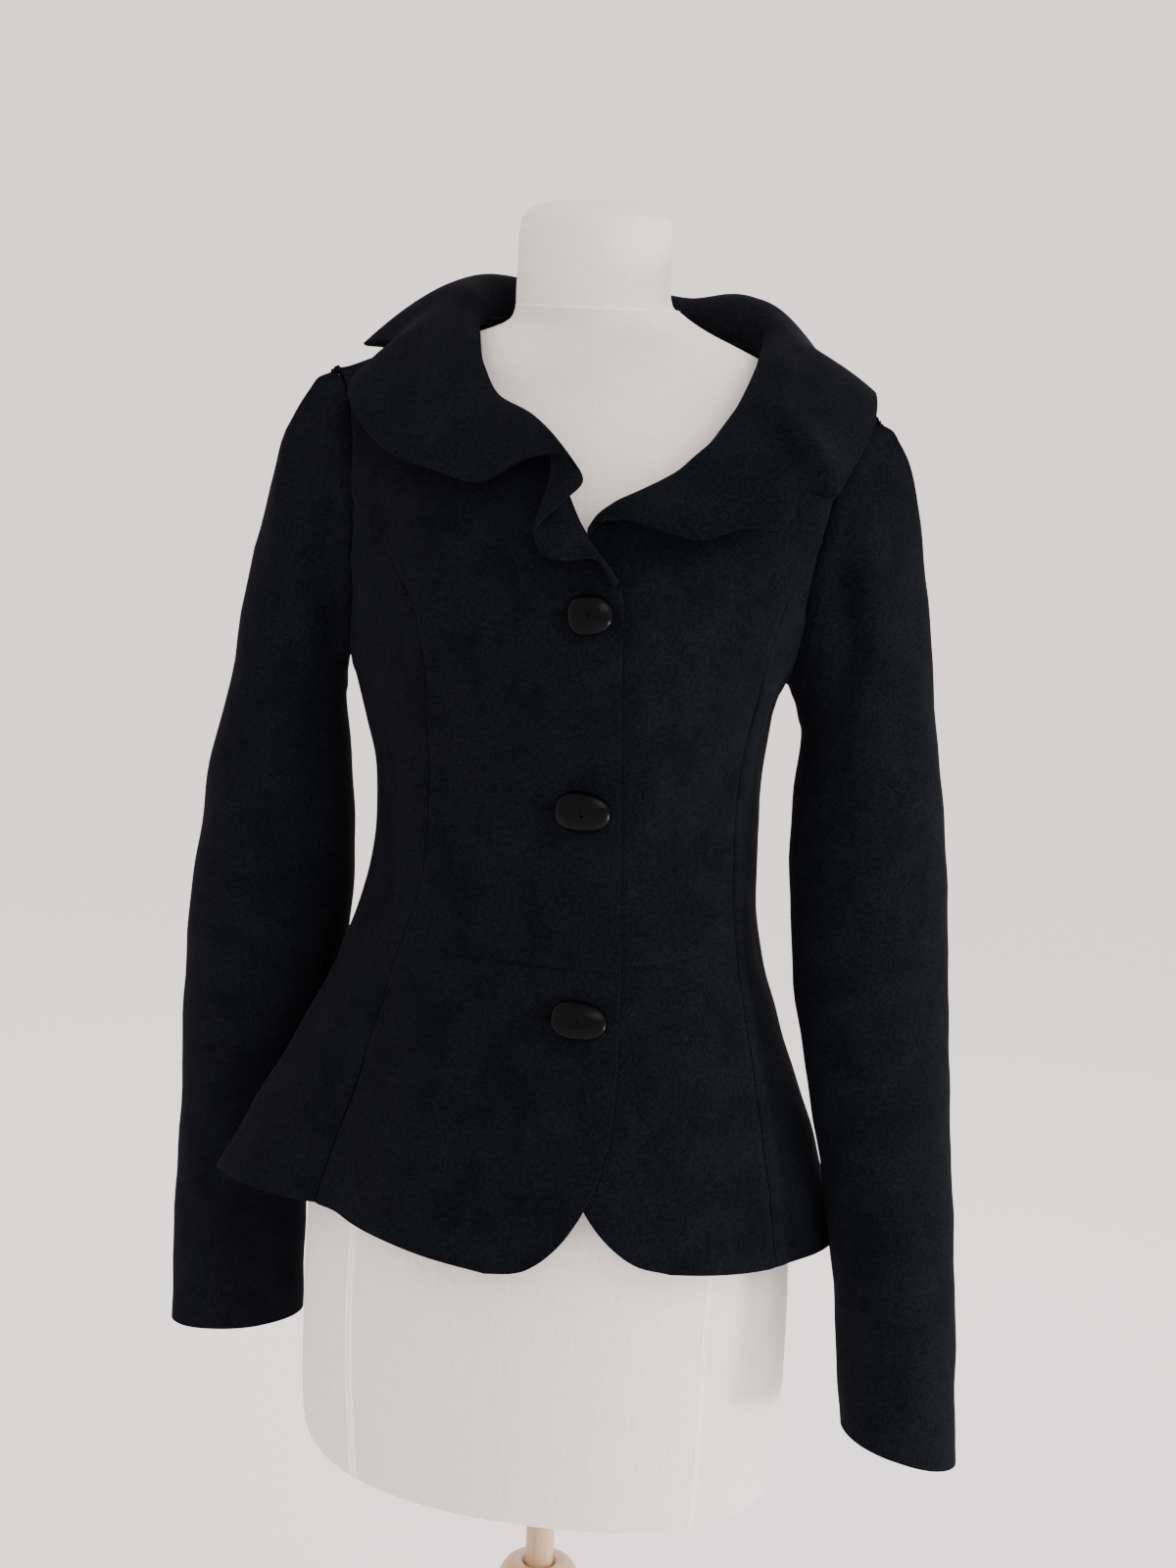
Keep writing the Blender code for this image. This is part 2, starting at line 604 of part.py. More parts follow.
def armhole_shares(front):
    """Where the panels' corners lie on the armhole, from the shoulder tip to the underarm."""
    start = ARMHOLE["princess" if front else "back_princess"]
    upper = [start * step / ARMHOLE_ROWS for step in range(ARMHOLE_ROWS)]
    lower = [start + (1 - start) * step / SIDE_COLUMNS for step in range(SIDE_COLUMNS + 1)]
    return upper + lower


def sleeve(name, side, finish):
    sign = -1 if side == "left" else 1
    table = SLEEVE_LEFT if side == "left" else SLEEVE_RIGHT
    stops = armhole_shares(True) + armhole_shares(False)[-2:0:-1]
    fronts = [True] * len(armhole_shares(True)) + [False] * (len(stops) - len(armhole_shares(True)))
    loop = [body_point(*armhole(side, share, front)) for share, front in zip(stops, fronts)]
    loop = np.array(loop)
    rim_normals = np.array([body_normal(*armhole(side, share, front))
                            for share, front in zip(stops, fronts)])
    tangents = np.roll(loop, -1, axis=0) - np.roll(loop, 1, axis=0)
    away = np.cross(rim_normals, tangents)
    away /= np.linalg.norm(away, axis=1, keepdims=True)
    away *= math.copysign(1, sign * away[0, 0])
    first = loop + away * CAP_GAP
    rings = []
    turns = np.array([math.pi * (share if front else 2 - share)
                      for share, front in zip(stops, fronts)])
    tilt = CUFF_TILT[side]
    for index, (z, centre_x, half_x, centre_y, half_y) in enumerate(table):
        xs = centre_x + sign * half_x * np.cos(turns)
        ys = centre_y - half_y * np.sin(turns)
        lean = tilt * max(0.0, (index - CUFF_FROM) / (len(table) - 1 - CUFF_FROM))
        rings.append(np.stack([xs, ys, z + lean * (xs - centre_x)], axis=1))
    end = rings[0]
    reach = np.linalg.norm(end - first, axis=1, keepdims=True)
    start_way = np.array([sign * CAP_START["out"], 0, -CAP_START["down"]]) * reach
    end_way = np.array([sign * CAP_END["out"], 0, -CAP_END["down"]]) * reach
    cap = []
    for t in CAP_STEPS:
        cap.append((2 * t ** 3 - 3 * t ** 2 + 1) * first + (t ** 3 - 2 * t ** 2 + t) * start_way
                   + (-2 * t ** 3 + 3 * t ** 2) * end + (t ** 3 - t ** 2) * end_way)
    grid = np.array(cap + rings)
    around = np.roll(grid, -1, axis=1) - np.roll(grid, 1, axis=1)
    down = np.gradient(grid, axis=0)
    normals = np.cross(around, down)
    normals /= np.linalg.norm(normals, axis=2, keepdims=True)
    outward = grid - grid.mean(axis=1, keepdims=True)
    flipped = (normals * outward).sum() < 0
    normals[0] = -rim_normals if flipped else rim_normals
    if flipped:
        grid = grid[:, ::-1]
        normals = -normals[:, ::-1]
    return wall_object(name, grid, -normals, finish, closed=True)


def neckline_points():
    """The collar's seam, from the lower end of the upper front round the back of the neck."""
    left = [body_point(*p) for p in neck_angles(NECK_LEFT, NECK_POINTS)]
    left = [lapped(p) for p in left]
    back = [body_point(*p) for p in neck_angles(NECK_BACK, NECK_POINTS, front=False)]
    right = [body_point(*p) for p in neck_angles(NECK_RIGHT[1:], NECK_POINTS)][::-1]
    return np.array(left + back[1:-1] + right)


def smooth_columns(table, at):
    """All the columns of a table read smoothly at many places along its first column."""
    keys = np.array([row[0] for row in table])
    values = np.array([row[1:] for row in table])
    slopes = np.gradient(values, keys, axis=0)
    index = np.clip(np.searchsorted(keys, at) - 1, 0, len(keys) - 2)
    step = (keys[index + 1] - keys[index])[:, None]
    t = np.clip((at - keys[index])[:, None] / step, 0, 1)
    start, end = values[index], values[index + 1]
    return ((2 * t ** 3 - 3 * t ** 2 + 1) * start + (t ** 3 - 2 * t ** 2 + t) * step * slopes[index]
            + (3 * t ** 2 - 2 * t ** 3) * end + (t ** 3 - t ** 2) * step * slopes[index + 1])


def collar(name, finish):
    seam = neckline_points()
    along = np.concatenate([[0], np.cumsum(np.linalg.norm(np.diff(seam, axis=0), axis=1))])
    at = np.linspace(COLLAR[0][0], COLLAR[-1][0], COLLAR_COLUMNS)
    starts = np.stack([np.interp(at * along[-1], along, seam[:, k]) for k in range(3)], axis=1)
    values = smooth_columns(COLLAR, at)
    grid = np.zeros((COLLAR_ROWS + 1, COLLAR_COLUMNS, 3))
    for index, start in enumerate(starts):
        rise, x, y, z, bulge = values[index]
        edge = np.array(turned(x, y, z))
        lean = np.array([start[0] - CENTRE_X, start[1], 0.0])
        lean /= np.linalg.norm(lean)
        begin = start + UP * COLLAR_CLEAR["up"] + lean * COLLAR_CLEAR["out"]
        roll_lean = column(COLLAR_LEAN, at[index], 1)
        upper = begin + (UP + lean * roll_lean) * rise * COLLAR_ROLL
        lower = upper * (1 - COLLAR_FALL) + edge * COLLAR_FALL + (lean + UP) * bulge * COLLAR_BULGE
        for row in range(COLLAR_ROWS + 1):
            t = row / COLLAR_ROWS
            grid[row, index] = ((1 - t) ** 3 * begin + 3 * (1 - t) ** 2 * t * upper
                                + 3 * (1 - t) * t ** 2 * lower + t ** 3 * edge)
    normals = skin_normals(grid)
    if normals[:, :, 2].sum() < 0:
        grid = grid[:, ::-1]
        normals = -normals[:, ::-1]
    return wall_object(name, grid, -normals, finish)


def button(name, x, z, half_width, half_height, turn, sink, finish):
    level = dome_level(x, z)
    spots = [body_point(angle_at(x + dx, level_at), level_at)
             for dx, level_at in ((0, level), (0.004, level), (0, dome_level(x, z + 0.004)))]
    spots = [np.array(lapped(p)) for p in spots]
    across = spots[1] - spots[0]
    across /= np.linalg.norm(across)
    up = spots[2] - spots[0]
    up -= across * (up @ across)
    up /= np.linalg.norm(up)
    out = np.cross(across, up)
    spin = math.radians(turn)
    points = []
    for share, height in BUTTON_RINGS:
        for index in range(BUTTON_POINTS):
            angle = 2 * math.pi * index / BUTTON_POINTS
            width = half_width if share > SHANK_SHARE else half_height
            u = signed_power(math.cos(angle), BUTTON_ROUNDNESS) * width * share
            v = signed_power(math.sin(angle), BUTTON_ROUNDNESS) * half_height * share
            v *= 1 - BUTTON_TAPER * math.cos(angle)
            u, v = u * math.cos(spin) - v * math.sin(spin), u * math.sin(spin) + v * math.cos(spin)
            points.append(spots[0] + across * u + up * v + out * (height - sink))
    return add_object(name, points, loft_faces(len(BUTTON_RINGS), BUTTON_POINTS), finish)


def loft_faces(rings, count):
    """The sides and the two flat ends of a stack of rings that turn the same way."""
    faces = []
    for ring in range(rings - 1):
        for index in range(count):
            after = (index + 1) % count
            faces.append((ring * count + index, ring * count + after,
                          (ring + 1) * count + after, (ring + 1) * count + index))
    faces.append(tuple(reversed(range(count))))
    faces.append(tuple((rings - 1) * count + index for index in range(count)))
    return faces


def dress_form(name, finish):
    points = []
    for z, half, front, back, roundness in FORM:
        centre = column(FORM_CENTRE, z, 1)
        for index in range(FORM_POINTS):
            angle = 2 * math.pi * index / FORM_POINTS
            depth = front if math.sin(angle) < 0 else back
            x = centre + half * signed_power(math.cos(angle), 2 / roundness)
            y = depth * signed_power(math.sin(angle), 2 / roundness)
            points.append(turned(x, y, z))
    return add_object(name, points, loft_faces(len(FORM), FORM_POINTS), finish)


def lathe(name, profile, finish, count=32):
    """Turns a profile of radius and z, from the top middle outwards and down to the bottom middle."""
    points = [(0, 0, profile[0][1])]
    rings = profile[1:-1]
    for radius, z in rings:
        for index in range(count):
            angle = 2 * math.pi * index / count
            points.append((radius * math.cos(angle), radius * math.sin(angle), z))
    points.append((0, 0, profile[-1][1]))
    faces = []
    for index in range(count):
        after = (index + 1) % count
        faces.append((0, 1 + index, 1 + after))
        for ring in range(len(rings) - 1):
            a = 1 + ring * count
            b = a + count
            faces.append((a + index, b + index, b + after, a + after))
        last = 1 + (len(rings) - 1) * count
        faces.append((last + index, len(points) - 1, last + after))
    return add_object(name, points, faces, finish)


def build():
    clear_scene()
    wool = material("felted_wool", (0.012, 0.013, 0.017), 0.95)
    linen = material("linen", (0.70, 0.64, 0.54), 0.9)
    wood = material("beech", (0.72, 0.52, 0.32), 0.5)
    gloss = material("black_gloss", (0.01, 0.01, 0.011), 0.12)
    # The wearer's right is on the left of the view.
    for wearer, side in (("right", "left"), ("left", "right")):
        front_panel(f"front_{wearer}", side, wool)
        side_panel(f"side_front_{wearer}", side, True, wool)
        side_panel(f"side_back_{wearer}", side, False, wool)
        back_panel(f"back_{wearer}", side, wool)
        sleeve(f"sleeve_{wearer}", side, wool)
    collar("collar", wool)
    for row in BUTTONS:
        button(*row, gloss)
    dress_form("form", linen)
    lathe("pole", [(0, POLE_Z[1]), (POLE_RADIUS, POLE_Z[1]), (POLE_RADIUS, POLE_Z[0]),
                   (0, POLE_Z[0])], wood, 24)
    bore = [(0, BORE["floor_z"]), (BORE["radius"], BORE["floor_z"]), (BORE["radius"], BORE["mouth_z"])]
    lathe("hub", bore + HUB + [(0, HUB[-1][1])], wood)
    lathe("column", [(0, COLUMN[0][1])] + COLUMN + [(0, COLUMN[-1][1])], wood, 28)
    lathe("base", [(0, BASE[0][1])] + BASE + [(0, BASE[-1][1])], wood, 40)


build()
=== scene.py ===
"""Looks of the fitted jacket on its form: felted wool, glossy buttons, linen and turned beech.

The cloth is built again, finer, from the same tables as the solids it stands for. Metres, +Z up,
the jacket faces -Y and +X is the wearer's left.
"""

import math

import bpy
import numpy as np
from mathutils import Matrix, Vector


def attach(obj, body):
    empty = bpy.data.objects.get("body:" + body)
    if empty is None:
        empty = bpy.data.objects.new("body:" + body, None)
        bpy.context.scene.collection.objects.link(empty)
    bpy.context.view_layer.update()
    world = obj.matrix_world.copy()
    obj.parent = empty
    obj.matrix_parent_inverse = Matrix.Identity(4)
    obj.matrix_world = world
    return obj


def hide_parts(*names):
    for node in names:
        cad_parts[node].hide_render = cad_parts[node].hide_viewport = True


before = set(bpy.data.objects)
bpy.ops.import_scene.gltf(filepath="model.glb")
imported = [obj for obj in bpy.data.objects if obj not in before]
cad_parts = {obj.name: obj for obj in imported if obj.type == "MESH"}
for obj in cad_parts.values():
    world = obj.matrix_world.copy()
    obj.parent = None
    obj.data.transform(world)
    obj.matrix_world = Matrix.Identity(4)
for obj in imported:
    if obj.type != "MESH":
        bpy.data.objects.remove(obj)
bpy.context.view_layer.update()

UP = np.array([0.0, 0.0, 1.0])


def metres(table):
    """A table given in thousandths, so that lengths are in millimetres, as metres and shares."""
    if isinstance(table, (list, tuple)):
        return type(table)(metres(value) for value in table)
    return table / 1000


# Cloth
WALL = 0.0022
CAP_GAP = 0.0014           # sleeve head to armhole, whose walls meet at an angle
SHOULDER_PART = 0.0006     # each side of the shoulder seam, where the walls meet at an angle
OVERLAP_LIFT = 0.0038      # the upper front lies this far out where it laps over the under front
LAP_EASE = {"before": 0.042, "over": 0.026}   # where it starts to rise, and over what width
TURN = 0.17                # fall of y for each metre of x
ROUNDNESS = 2.15           # exponent of the jacket's level sections
# levels over which the walls turn upright towards the shoulder seam, and their lean outwards there
UPRIGHT = {"from": 0.80, "over": 0.15, "last_curved": 0.93, "lean": 0.3}

# Jacket body
CHEST_Z = 1.190
BELOW_CHEST = 0.27         # metres of height for one unit of level below the chest line
DOME_FALL = 1.3            # how fast the shoulders curve in above the chest line
SHOULDER_TIP = {"left": 0.168, "right": 0.184}
CENTRE_X = 0.016           # the buttoned centre line up to LEAN_Z
LEAN_Z = 1.000
LEAN = -0.045              # x of the centre line for each metre above LEAN_Z
HALF_LAP = 0.019
CORNER = {"width": 0.077, "top_z": 0.934}

# z, left and right half widths, front and back depths
BODY = metres([
    (795, 183, 180, 140, 150), (830, 178, 175, 137, 145), (875, 171, 164, 131, 136),
    (916, 161, 152, 124, 126), (962, 150, 137, 114, 112), (1000, 142, 127, 106, 100),
    (1040, 131, 122, 100, 92), (1080, 129, 122, 99, 91), (1120, 134, 123, 103, 96),
    (1155, 144, 127, 111, 102), (1190, 153, 141, 118, 106)])

# how the flutes of the skirt deepen downwards and how sharp their crowns are
FLUTE_FALL = {"height": 0.21, "power": 1.4}
FLUTE_CROWN = 0.8
# flutes of the flared skirt: angle, spread towards the front, spread towards the back, depth at the
# hem, height where it starts
FLUTES = [
    (-83, 30, 10, 0.056, 1.02),
    (84, 30, 22, 0.012, 1.00),
    (126, 20, 20, 0.010, 0.98),
    (160, 17, 17, 0.014, 0.99),
    (-164, 17, 17, 0.013, 0.99),
    (-30, 24, 24, 0.004, 0.96),
    (40, 24, 24, 0.004, 0.96),
]

# hem height round the figure: angle, z
HEM = [(-180, 0.812), (-120, 0.812), (-83, 0.820), (-60, 0.811), (-20, 0.807), (30, 0.816),
       (55, 0.814), (90, 0.812), (130, 0.812), (180, 0.812)]

# ridge over the shoulders, carried on over the neck as if it were closed: x, z
RIDGE = metres([
    (-168, 1357), (-120, 1374), (-77, 1391), (-40, 1420), (0, 1437), (45, 1430), (85, 1400),
    (109, 1381), (150, 1358), (184, 1341)])

# front princess seam: z, distance out on the left and on the right
PRINCESS = metres([
    (805, 156, 142), (860, 146, 136), (901, 134, 129), (950, 121, 120), (984, 112, 113),
    (1013, 101, 108), (1054, 91, 104), (1108, 91, 104), (1150, 93, 109), (1190, 96, 115)])
BACK_PRINCESS = metres([
    (805, 106, 112), (900, 85, 90), (1000, 66, 70), (1060, 62, 66), (1120, 70, 74),
    (1190, 86, 90)])

# necklines: x, z. The left one starts at the top of the upper front's edge
NECK_LEFT = metres([
    (24, 1243), (10, 1256), (-6, 1282), (-14, 1305), (-32, 1325), (-53, 1342), (-66, 1362),
    (-72, 1394.5)])
NECK_RIGHT = metres([
    (-14, 1240), (-6, 1257), (2, 1270), (10, 1284), (29, 1293), (53, 1305), (74, 1324),
    (91, 1347), (101, 1367), (107, 1382.6)])
NECK_BACK = metres([
    (-72, 1394.5), (-56, 1396), (-28, 1392), (16, 1388), (60, 1388), (92, 1388), (107, 1382.6)])

# rows of the panels: shares of the way from the hem to the top of the cut-away corner, then heights
ROW_SHARES = (0.0, 0.05, 0.19, 0.41, 0.69, 1.0)
ROW_HEIGHTS = (0.965, 1.000, 1.040, 1.080, 1.120, 1.155, 1.190)
# rows from the chest line up the princess seam to the armhole, as (share of the way) steps
PRINCESS_STEPS = (0.35, 0.70, 1.0)
PRINCESS_BEND = 1.8
ARMHOLE_ROWS = 5
CHEST_ROWS = len(PRINCESS_STEPS) + ARMHOLE_ROWS
FRONT_COLUMNS = 8
SIDE_COLUMNS = 5

# armholes: turn of the seam towards the front and the back, level of the underarm, and the
# places along it where the princess seams run in
ARMHOLE = {"front": 25.0, "back": 21.0, "under": -0.067, "princess": 0.58, "back_princess": 0.52}

# sleeves: z, centre x, half width, centre y, half depth
SLEEVE_LEFT = metres([
    (1140, -193, 40, 34, 45), (1095, -197, 48, 42, 47), (1050, -199, 52, 52, 47),
    (1000, -204, 56, 64, 46), (920, -213.5, 53.5, 80, 44), (850, -222.5, 46.5, 90, 42),
    (775, -225.5, 47.5, 90, 40), (715, -226.5, 47.5, 88, 37), (681, -226.5, 47, 86, 35)])
SLEEVE_RIGHT = metres([
    (1140, 189, 44, -32, 45), (1100, 191, 49, -34, 47), (1050, 194, 51, -38, 47),
    (980, 199, 50, -48, 46), (930, 205, 47, -58, 44), (870, 213, 43, -71, 42),
    (800, 221, 40, -85, 40), (740, 226, 39, -94, 37), (691, 229.5, 38.5, -100, 35)])
CAP_STEPS = (0.0, 0.10, 0.26, 0.46, 0.72)
# how the sleeve head leaves the armhole and runs into the first row below
CAP_START = {"out": 0.46, "down": 0.20}
CAP_END = {"out": 0.16, "down": 1.0}
CUFF_FROM = 5              # the row from which the sleeve tilts towards its cuff
CUFF_TILT = {"left": 0.10, "right": -0.28}   # rise of the cuff for each metre towards the inside

# Form, turned with the jacket: z, half width, front depth, back depth, exponent of the section
FORM = metres([
    (622, 148, 104, 104, 2170), (628, 159, 112, 112, 2170), (648, 164.5, 117, 117, 2170),
    (710, 165.5, 119, 120, 2170), (790, 164, 119, 120, 2170), (860, 157, 114, 115, 2170),
    (920, 145, 106, 106, 2170), (980, 128, 96, 92, 2170), (1040, 113, 86, 79, 2170),
    (1080, 112, 86, 78, 2170), (1130, 118, 93, 85, 2170), (1190, 132, 104, 93, 2170),
    (1240, 140, 100, 88, 2100), (1280, 145, 86, 78, 2000), (1310, 148, 72, 66, 1900),
    (1335, 149, 57, 54, 1750), (1352, 144, 49, 49, 1600), (1366, 129.5, 47, 48, 1400),
    (1380, 96.5, 47, 48, 1400), (1393, 64.5, 48, 48, 1700), (1403, 53, 48.5, 48.5, 2000),
    (1412, 49, 48.5, 48.5, 2000), (1452, 48, 48, 48, 2000), (1464, 43, 43, 43, 2000),
    (1470, 30, 30, 30, 2000)])
# x of the form's middle: z, x
FORM_CENTRE = metres([
    (622, -6), (1050, -6), (1300, 2), (1366, -1), (1380, 4), (1393, 8), (1412, 0)])
FORM_POINTS = 32

# Stand
POLE_RADIUS = 0.0098
POLE_Z = (0.512, 0.6215)
# turned profiles: radius, z, from the top of the outside down
HUB = metres([
    (12.5, 541), (20, 541), (25.5, 536), (29, 526), (28, 514), (22, 504), (20, 496), (22.5, 488),
    (21, 480)])
COLUMN = metres([
    (19, 479.7), (18.5, 460), (16, 430), (16, 300), (19, 200), (24, 120), (27, 70), (34, 52),
    (34, 30.3)])
BASE = metres([
    (50, 30), (110, 28.5), (165, 24), (183, 18), (188, 10), (186, 0)])
BORE = {"radius": 0.0102, "floor_z": 0.511, "mouth_z": 0.5385}

# Buttons: name, x, z, half width, half height, turn in degrees, how far the flat facets of the
# cloth lie behind its curve there
BUTTONS = [
    ("button_top", 0.007, 1.2245, 0.0140, 0.0126, 8, 0.0010),
    ("button_middle", 0.008, 1.102, 0.0175, 0.0131, -4, 0.0),
    ("button_bottom", 0.011, 0.9715, 0.0178, 0.0124, -6, 0.0),
]
# rings of a button from its shank to its peak: share of the full outline, height off the cloth
BUTTON_RINGS = [(0.24, 0.0004), (0.24, 0.0022), (0.80, 0.0024), (0.97, 0.0040), (1.0, 0.0055),
                (0.93, 0.0080), (0.72, 0.0103), (0.42, 0.0120), (0.16, 0.0126)]
BUTTON_ROUNDNESS = 0.85    # power of the outline's sine and cosine
BUTTON_TAPER = 0.10        # the outline is lower on the right

# Collar, one row for each fold: place along the neckline seam (0 at the lower end of the upper
# front, 1 at the lower end of the under front), rise of the roll above the seam, then the outer
# edge's x, y before the turn, z, and how far the fall bulges out between them
COLLAR = metres([
    (0, 2, 21, -124.5, 1243, 0), (25, 4, 10, -129, 1259, 2), (50, 6, -10, -130.5, 1257, 5),
    (80, 8, -25, -128.5, 1261, 5), (105, 9, -28, -128, 1274, 5), (130, 10, -14, -134, 1290, 6),
    (155, 10, -1, -138, 1305, 9), (180, 11, -13, -135, 1319, 12), (205, 11, -35, -118, 1315, 12),
    (235, 10, -63, -105, 1299, 9), (270, 10, -96, -97, 1305, 9), (300, 10, -122, -88, 1313, 8),
    (325, 11, -142, -70, 1330, 7), (350, 13, -151, -40, 1353, 6), (370, 24, -128, 2, 1377.5, 3),
    (392, 35, -150, 30, 1375.5, 2), (420, 45, -122, 85, 1370, 8), (450, 49, -86, 123, 1345, 14),
    (480, 47, -52, 148, 1358, 14), (510, 45, -18, 140, 1330, 14), (540, 45, 18, 150, 1348, 14),
    (570, 46, 56, 140, 1326, 14), (600, 47, 92, 132, 1348, 12), (630, 47, 126, 102, 1346, 10),
    (655, 38, 150, 64, 1364, 8), (680, 28, 168, 26, 1355, 5), (705, 20, 178, -8, 1361, 4),
    (730, 17, 174, -48, 1341, 6), (755, 15, 158, -85, 1315, 10), (780, 14, 147, -108, 1301, 15),
    (805, 13, 132, -103, 1300, 8), (830, 12, 117, -116, 1283, 10), (860, 12, 95, -116, 1281, 10),
    (890, 10, 72, -125.5, 1274, 9), (925, 8, 50, -126.5, 1277, 7), (960, 6, 28, -122.5, 1282, 4),
    (975, 3, 14, -119, 1284.5, 1)])
# how far the roll leans out from the neck for each metre that it rises: place, lean
COLLAR_LEAN = [(0.0, -0.3), (0.30, -0.3), (0.40, 0.35), (0.60, 0.35), (0.70, -0.2), (1.0, -0.4)]
# the collar's seam above and outside the neckline, and the pull of its curve at roll and fall
COLLAR_CLEAR = {"up": 0.0009, "out": 0.0012}
COLLAR_ROLL = 1.3
COLLAR_FALL = 0.6
COLLAR_BULGE = 1.2
NECK_POINTS = 14           # along each part of the neckline


def column(table, at, index):
    """The value of one column of a table, read between its rows at the given first value."""
    return float(np.interp(at, [row[0] for row in table], [row[index] for row in table]))


def lengths_along(points):
    """The way from the first point to each of a line of points."""
    steps = np.linalg.norm(np.diff(points, axis=0), axis=1)
    return np.concatenate([[0], np.cumsum(steps)])


def unit(vectors):
    """Vectors scaled to length 1, along the last axis."""
    lengths = np.linalg.norm(vectors, axis=-1, keepdims=True)
    return vectors / np.maximum(lengths, 1e-9)


def hermite(t, start, start_way, end, end_way):
    """A point on the smooth curve between two points that leaves and arrives along two ways."""
    return ((2 * t ** 3 - 3 * t ** 2 + 1) * start + (t ** 3 - 2 * t ** 2 + t) * start_way
            + (3 * t ** 2 - 2 * t ** 3) * end + (t ** 3 - t ** 2) * end_way)


def sign_of(side):
    return -1 if side == "left" else 1


def smoothstep(value):
    value = min(1.0, max(0.0, value))
    return value * value * (3 - 2 * value)


def signed_power(value, exponent):
    return math.copysign(abs(value) ** exponent, value)


def turned(x, y, z):
    return (x, y - TURN * x, z)


def ridge_z(x):
    return column(RIDGE, x, 1)


def flute(angle, z):
    """How far the flared skirt stands out of its plain section."""
    out = 0.0
    for centre, front, back, depth, top in FLUTES:
        away = (angle - centre + 180) % 360 - 180
        towards_front = (away > 0) == (centre < 0)
        spread = front if towards_front else back
        if abs(away) < spread and z < top:
            grown = ((top - z) / FLUTE_FALL["height"]) ** FLUTE_FALL["power"]
            out += depth * grown * smoothstep(1 - abs(away) / spread) ** FLUTE_CROWN
    return out


def half_at(side, level):
    """The jacket's half width at a level, on the left (1) or the right (2)."""
    if level <= 0:
        return column(BODY, CHEST_Z + BELOW_CHEST * level, side)
    chest, tip = BODY[-1][side], SHOULDER_TIP["left" if side == 1 else "right"]
    return chest + (tip - chest) * math.sin(math.radians(90 * min(level, 1.0)))


def body_point(angle, level):
    """A point of the jacket's outer skin. The angle is 0 at the front and 90 on the right of the
    view; the level is 0 at the chest, 1 along the shoulder ridge and below 0 under the chest."""
    turn = math.radians(angle)
    across = signed_power(math.sin(turn), 2 / ROUNDNESS)
    along = signed_power(math.cos(turn), 2 / ROUNDNESS)
    side = 1 if across < 0 else 2
    depth_column = 3 if along > 0 else 4
    x = across * half_at(side, level)
    if level <= 0:
        z = CHEST_Z + BELOW_CHEST * level
        out = flute(angle, z)
        x += out * math.sin(turn)
        y = -along * column(BODY, z, depth_column) - out * math.cos(turn)
    else:
        rise = math.radians(90 * min(level, 1.0))
        z = CHEST_Z + (ridge_z(x) - CHEST_Z) * math.sin(rise)
        y = -along * BODY[-1][depth_column] * max(0.0, math.cos(rise)) ** DOME_FALL
    return turned(x, y, z)


def level_of(z):
    return (z - CHEST_Z) / BELOW_CHEST


def angle_at(x, level, front=True):
    """The angle whose point at this level has the given x."""
    share = min(1.0, abs(x) / half_at(1 if x < 0 else 2, level)) ** (ROUNDNESS / 2)
    angle = math.copysign(math.degrees(math.asin(share)), x)
    return angle if front else (180 - angle if x >= 0 else -180 - angle)


def dome_level(x, z):
    """The level of a point above the chest line, from its x and height."""
    if z <= CHEST_Z:
        return level_of(z)
    share = min(1.0, (z - CHEST_Z) / (ridge_z(x) - CHEST_Z))
    return math.degrees(math.asin(share)) / 90


def on_dome(x, z, front=True):
    level = dome_level(x, z)
    return angle_at(x, level, front), level


def hem_z(angle):
    return column(HEM, angle, 1)


def armhole(side, share, front=True):
    """The armhole seam from the shoulder tip (0) to the underarm (1)."""
    sign = sign_of(side)
    level = 1 + (ARMHOLE["under"] - 1) * (1 - math.cos(math.pi * share)) / 2
    swing = ARMHOLE["front" if front else "back"] * math.sin(math.pi * share) ** 0.8
    angle = sign * (90 - swing) if front else sign * (90 + swing)
    return angle, level


def skirt_rows(angle):
    """The levels of the lower rows at an angle: curved to the hem, then level up to the chest."""
    hem = hem_z(angle)
    rows = [level_of(hem + (CORNER["top_z"] - hem) * share) for share in ROW_SHARES]
    return rows + [level_of(z) for z in ROW_HEIGHTS]


def princess(side, front=True):
    """The seam from the hem up to the chest line, then on to the armhole."""
    sign = sign_of(side)
    table = PRINCESS if front else BACK_PRINCESS
    index = 1 if side == "left" else 2
    guess = angle_at(sign * table[0][index], level_of(CORNER["top_z"]), front)
    points = []
    for level in skirt_rows(guess):
        x = sign * column(table, CHEST_Z + BELOW_CHEST * level, index)
        points.append((angle_at(x, level, front), level))
    share = ARMHOLE["princess" if front else "back_princess"]
    end_angle, end_level = armhole(side, share, front)
    start = points[-1][0]
    for step in PRINCESS_STEPS:
        points.append((start + (end_angle - start) * step ** PRINCESS_BEND, end_level * step))
    return points


def side_seam(side):
    sign = sign_of(side)
    points = [(sign * 90.0, level) for level in skirt_rows(sign * 90)[:-1]]
    return points + [(sign * 90.0, ARMHOLE["under"])]


def centre_x(z):
    return CENTRE_X + LEAN * max(0.0, z - LEAN_Z)


def front_edge(side):
    """The cut-away corner, the straight edge and the neckline, from the hem up."""
    sign = 1 if side == "left" else -1
    edge_x = CENTRE_X + sign * HALF_LAP
    points = []
    for step in range(6):
        turn = math.radians(90 - 18 * step)
        corner_x = edge_x - sign * CORNER["width"] * (1 - math.cos(turn))
        hem = hem_z(-20 if side == "left" else 30)
        z = CORNER["top_z"] - (CORNER["top_z"] - hem) * math.sin(turn)
        points.append((angle_at(corner_x, level_of(z)), level_of(z)))
    for z in ROW_HEIGHTS:
        x = centre_x(z) + sign * HALF_LAP
        points.append((angle_at(x, level_of(z)), level_of(z)))
    return points


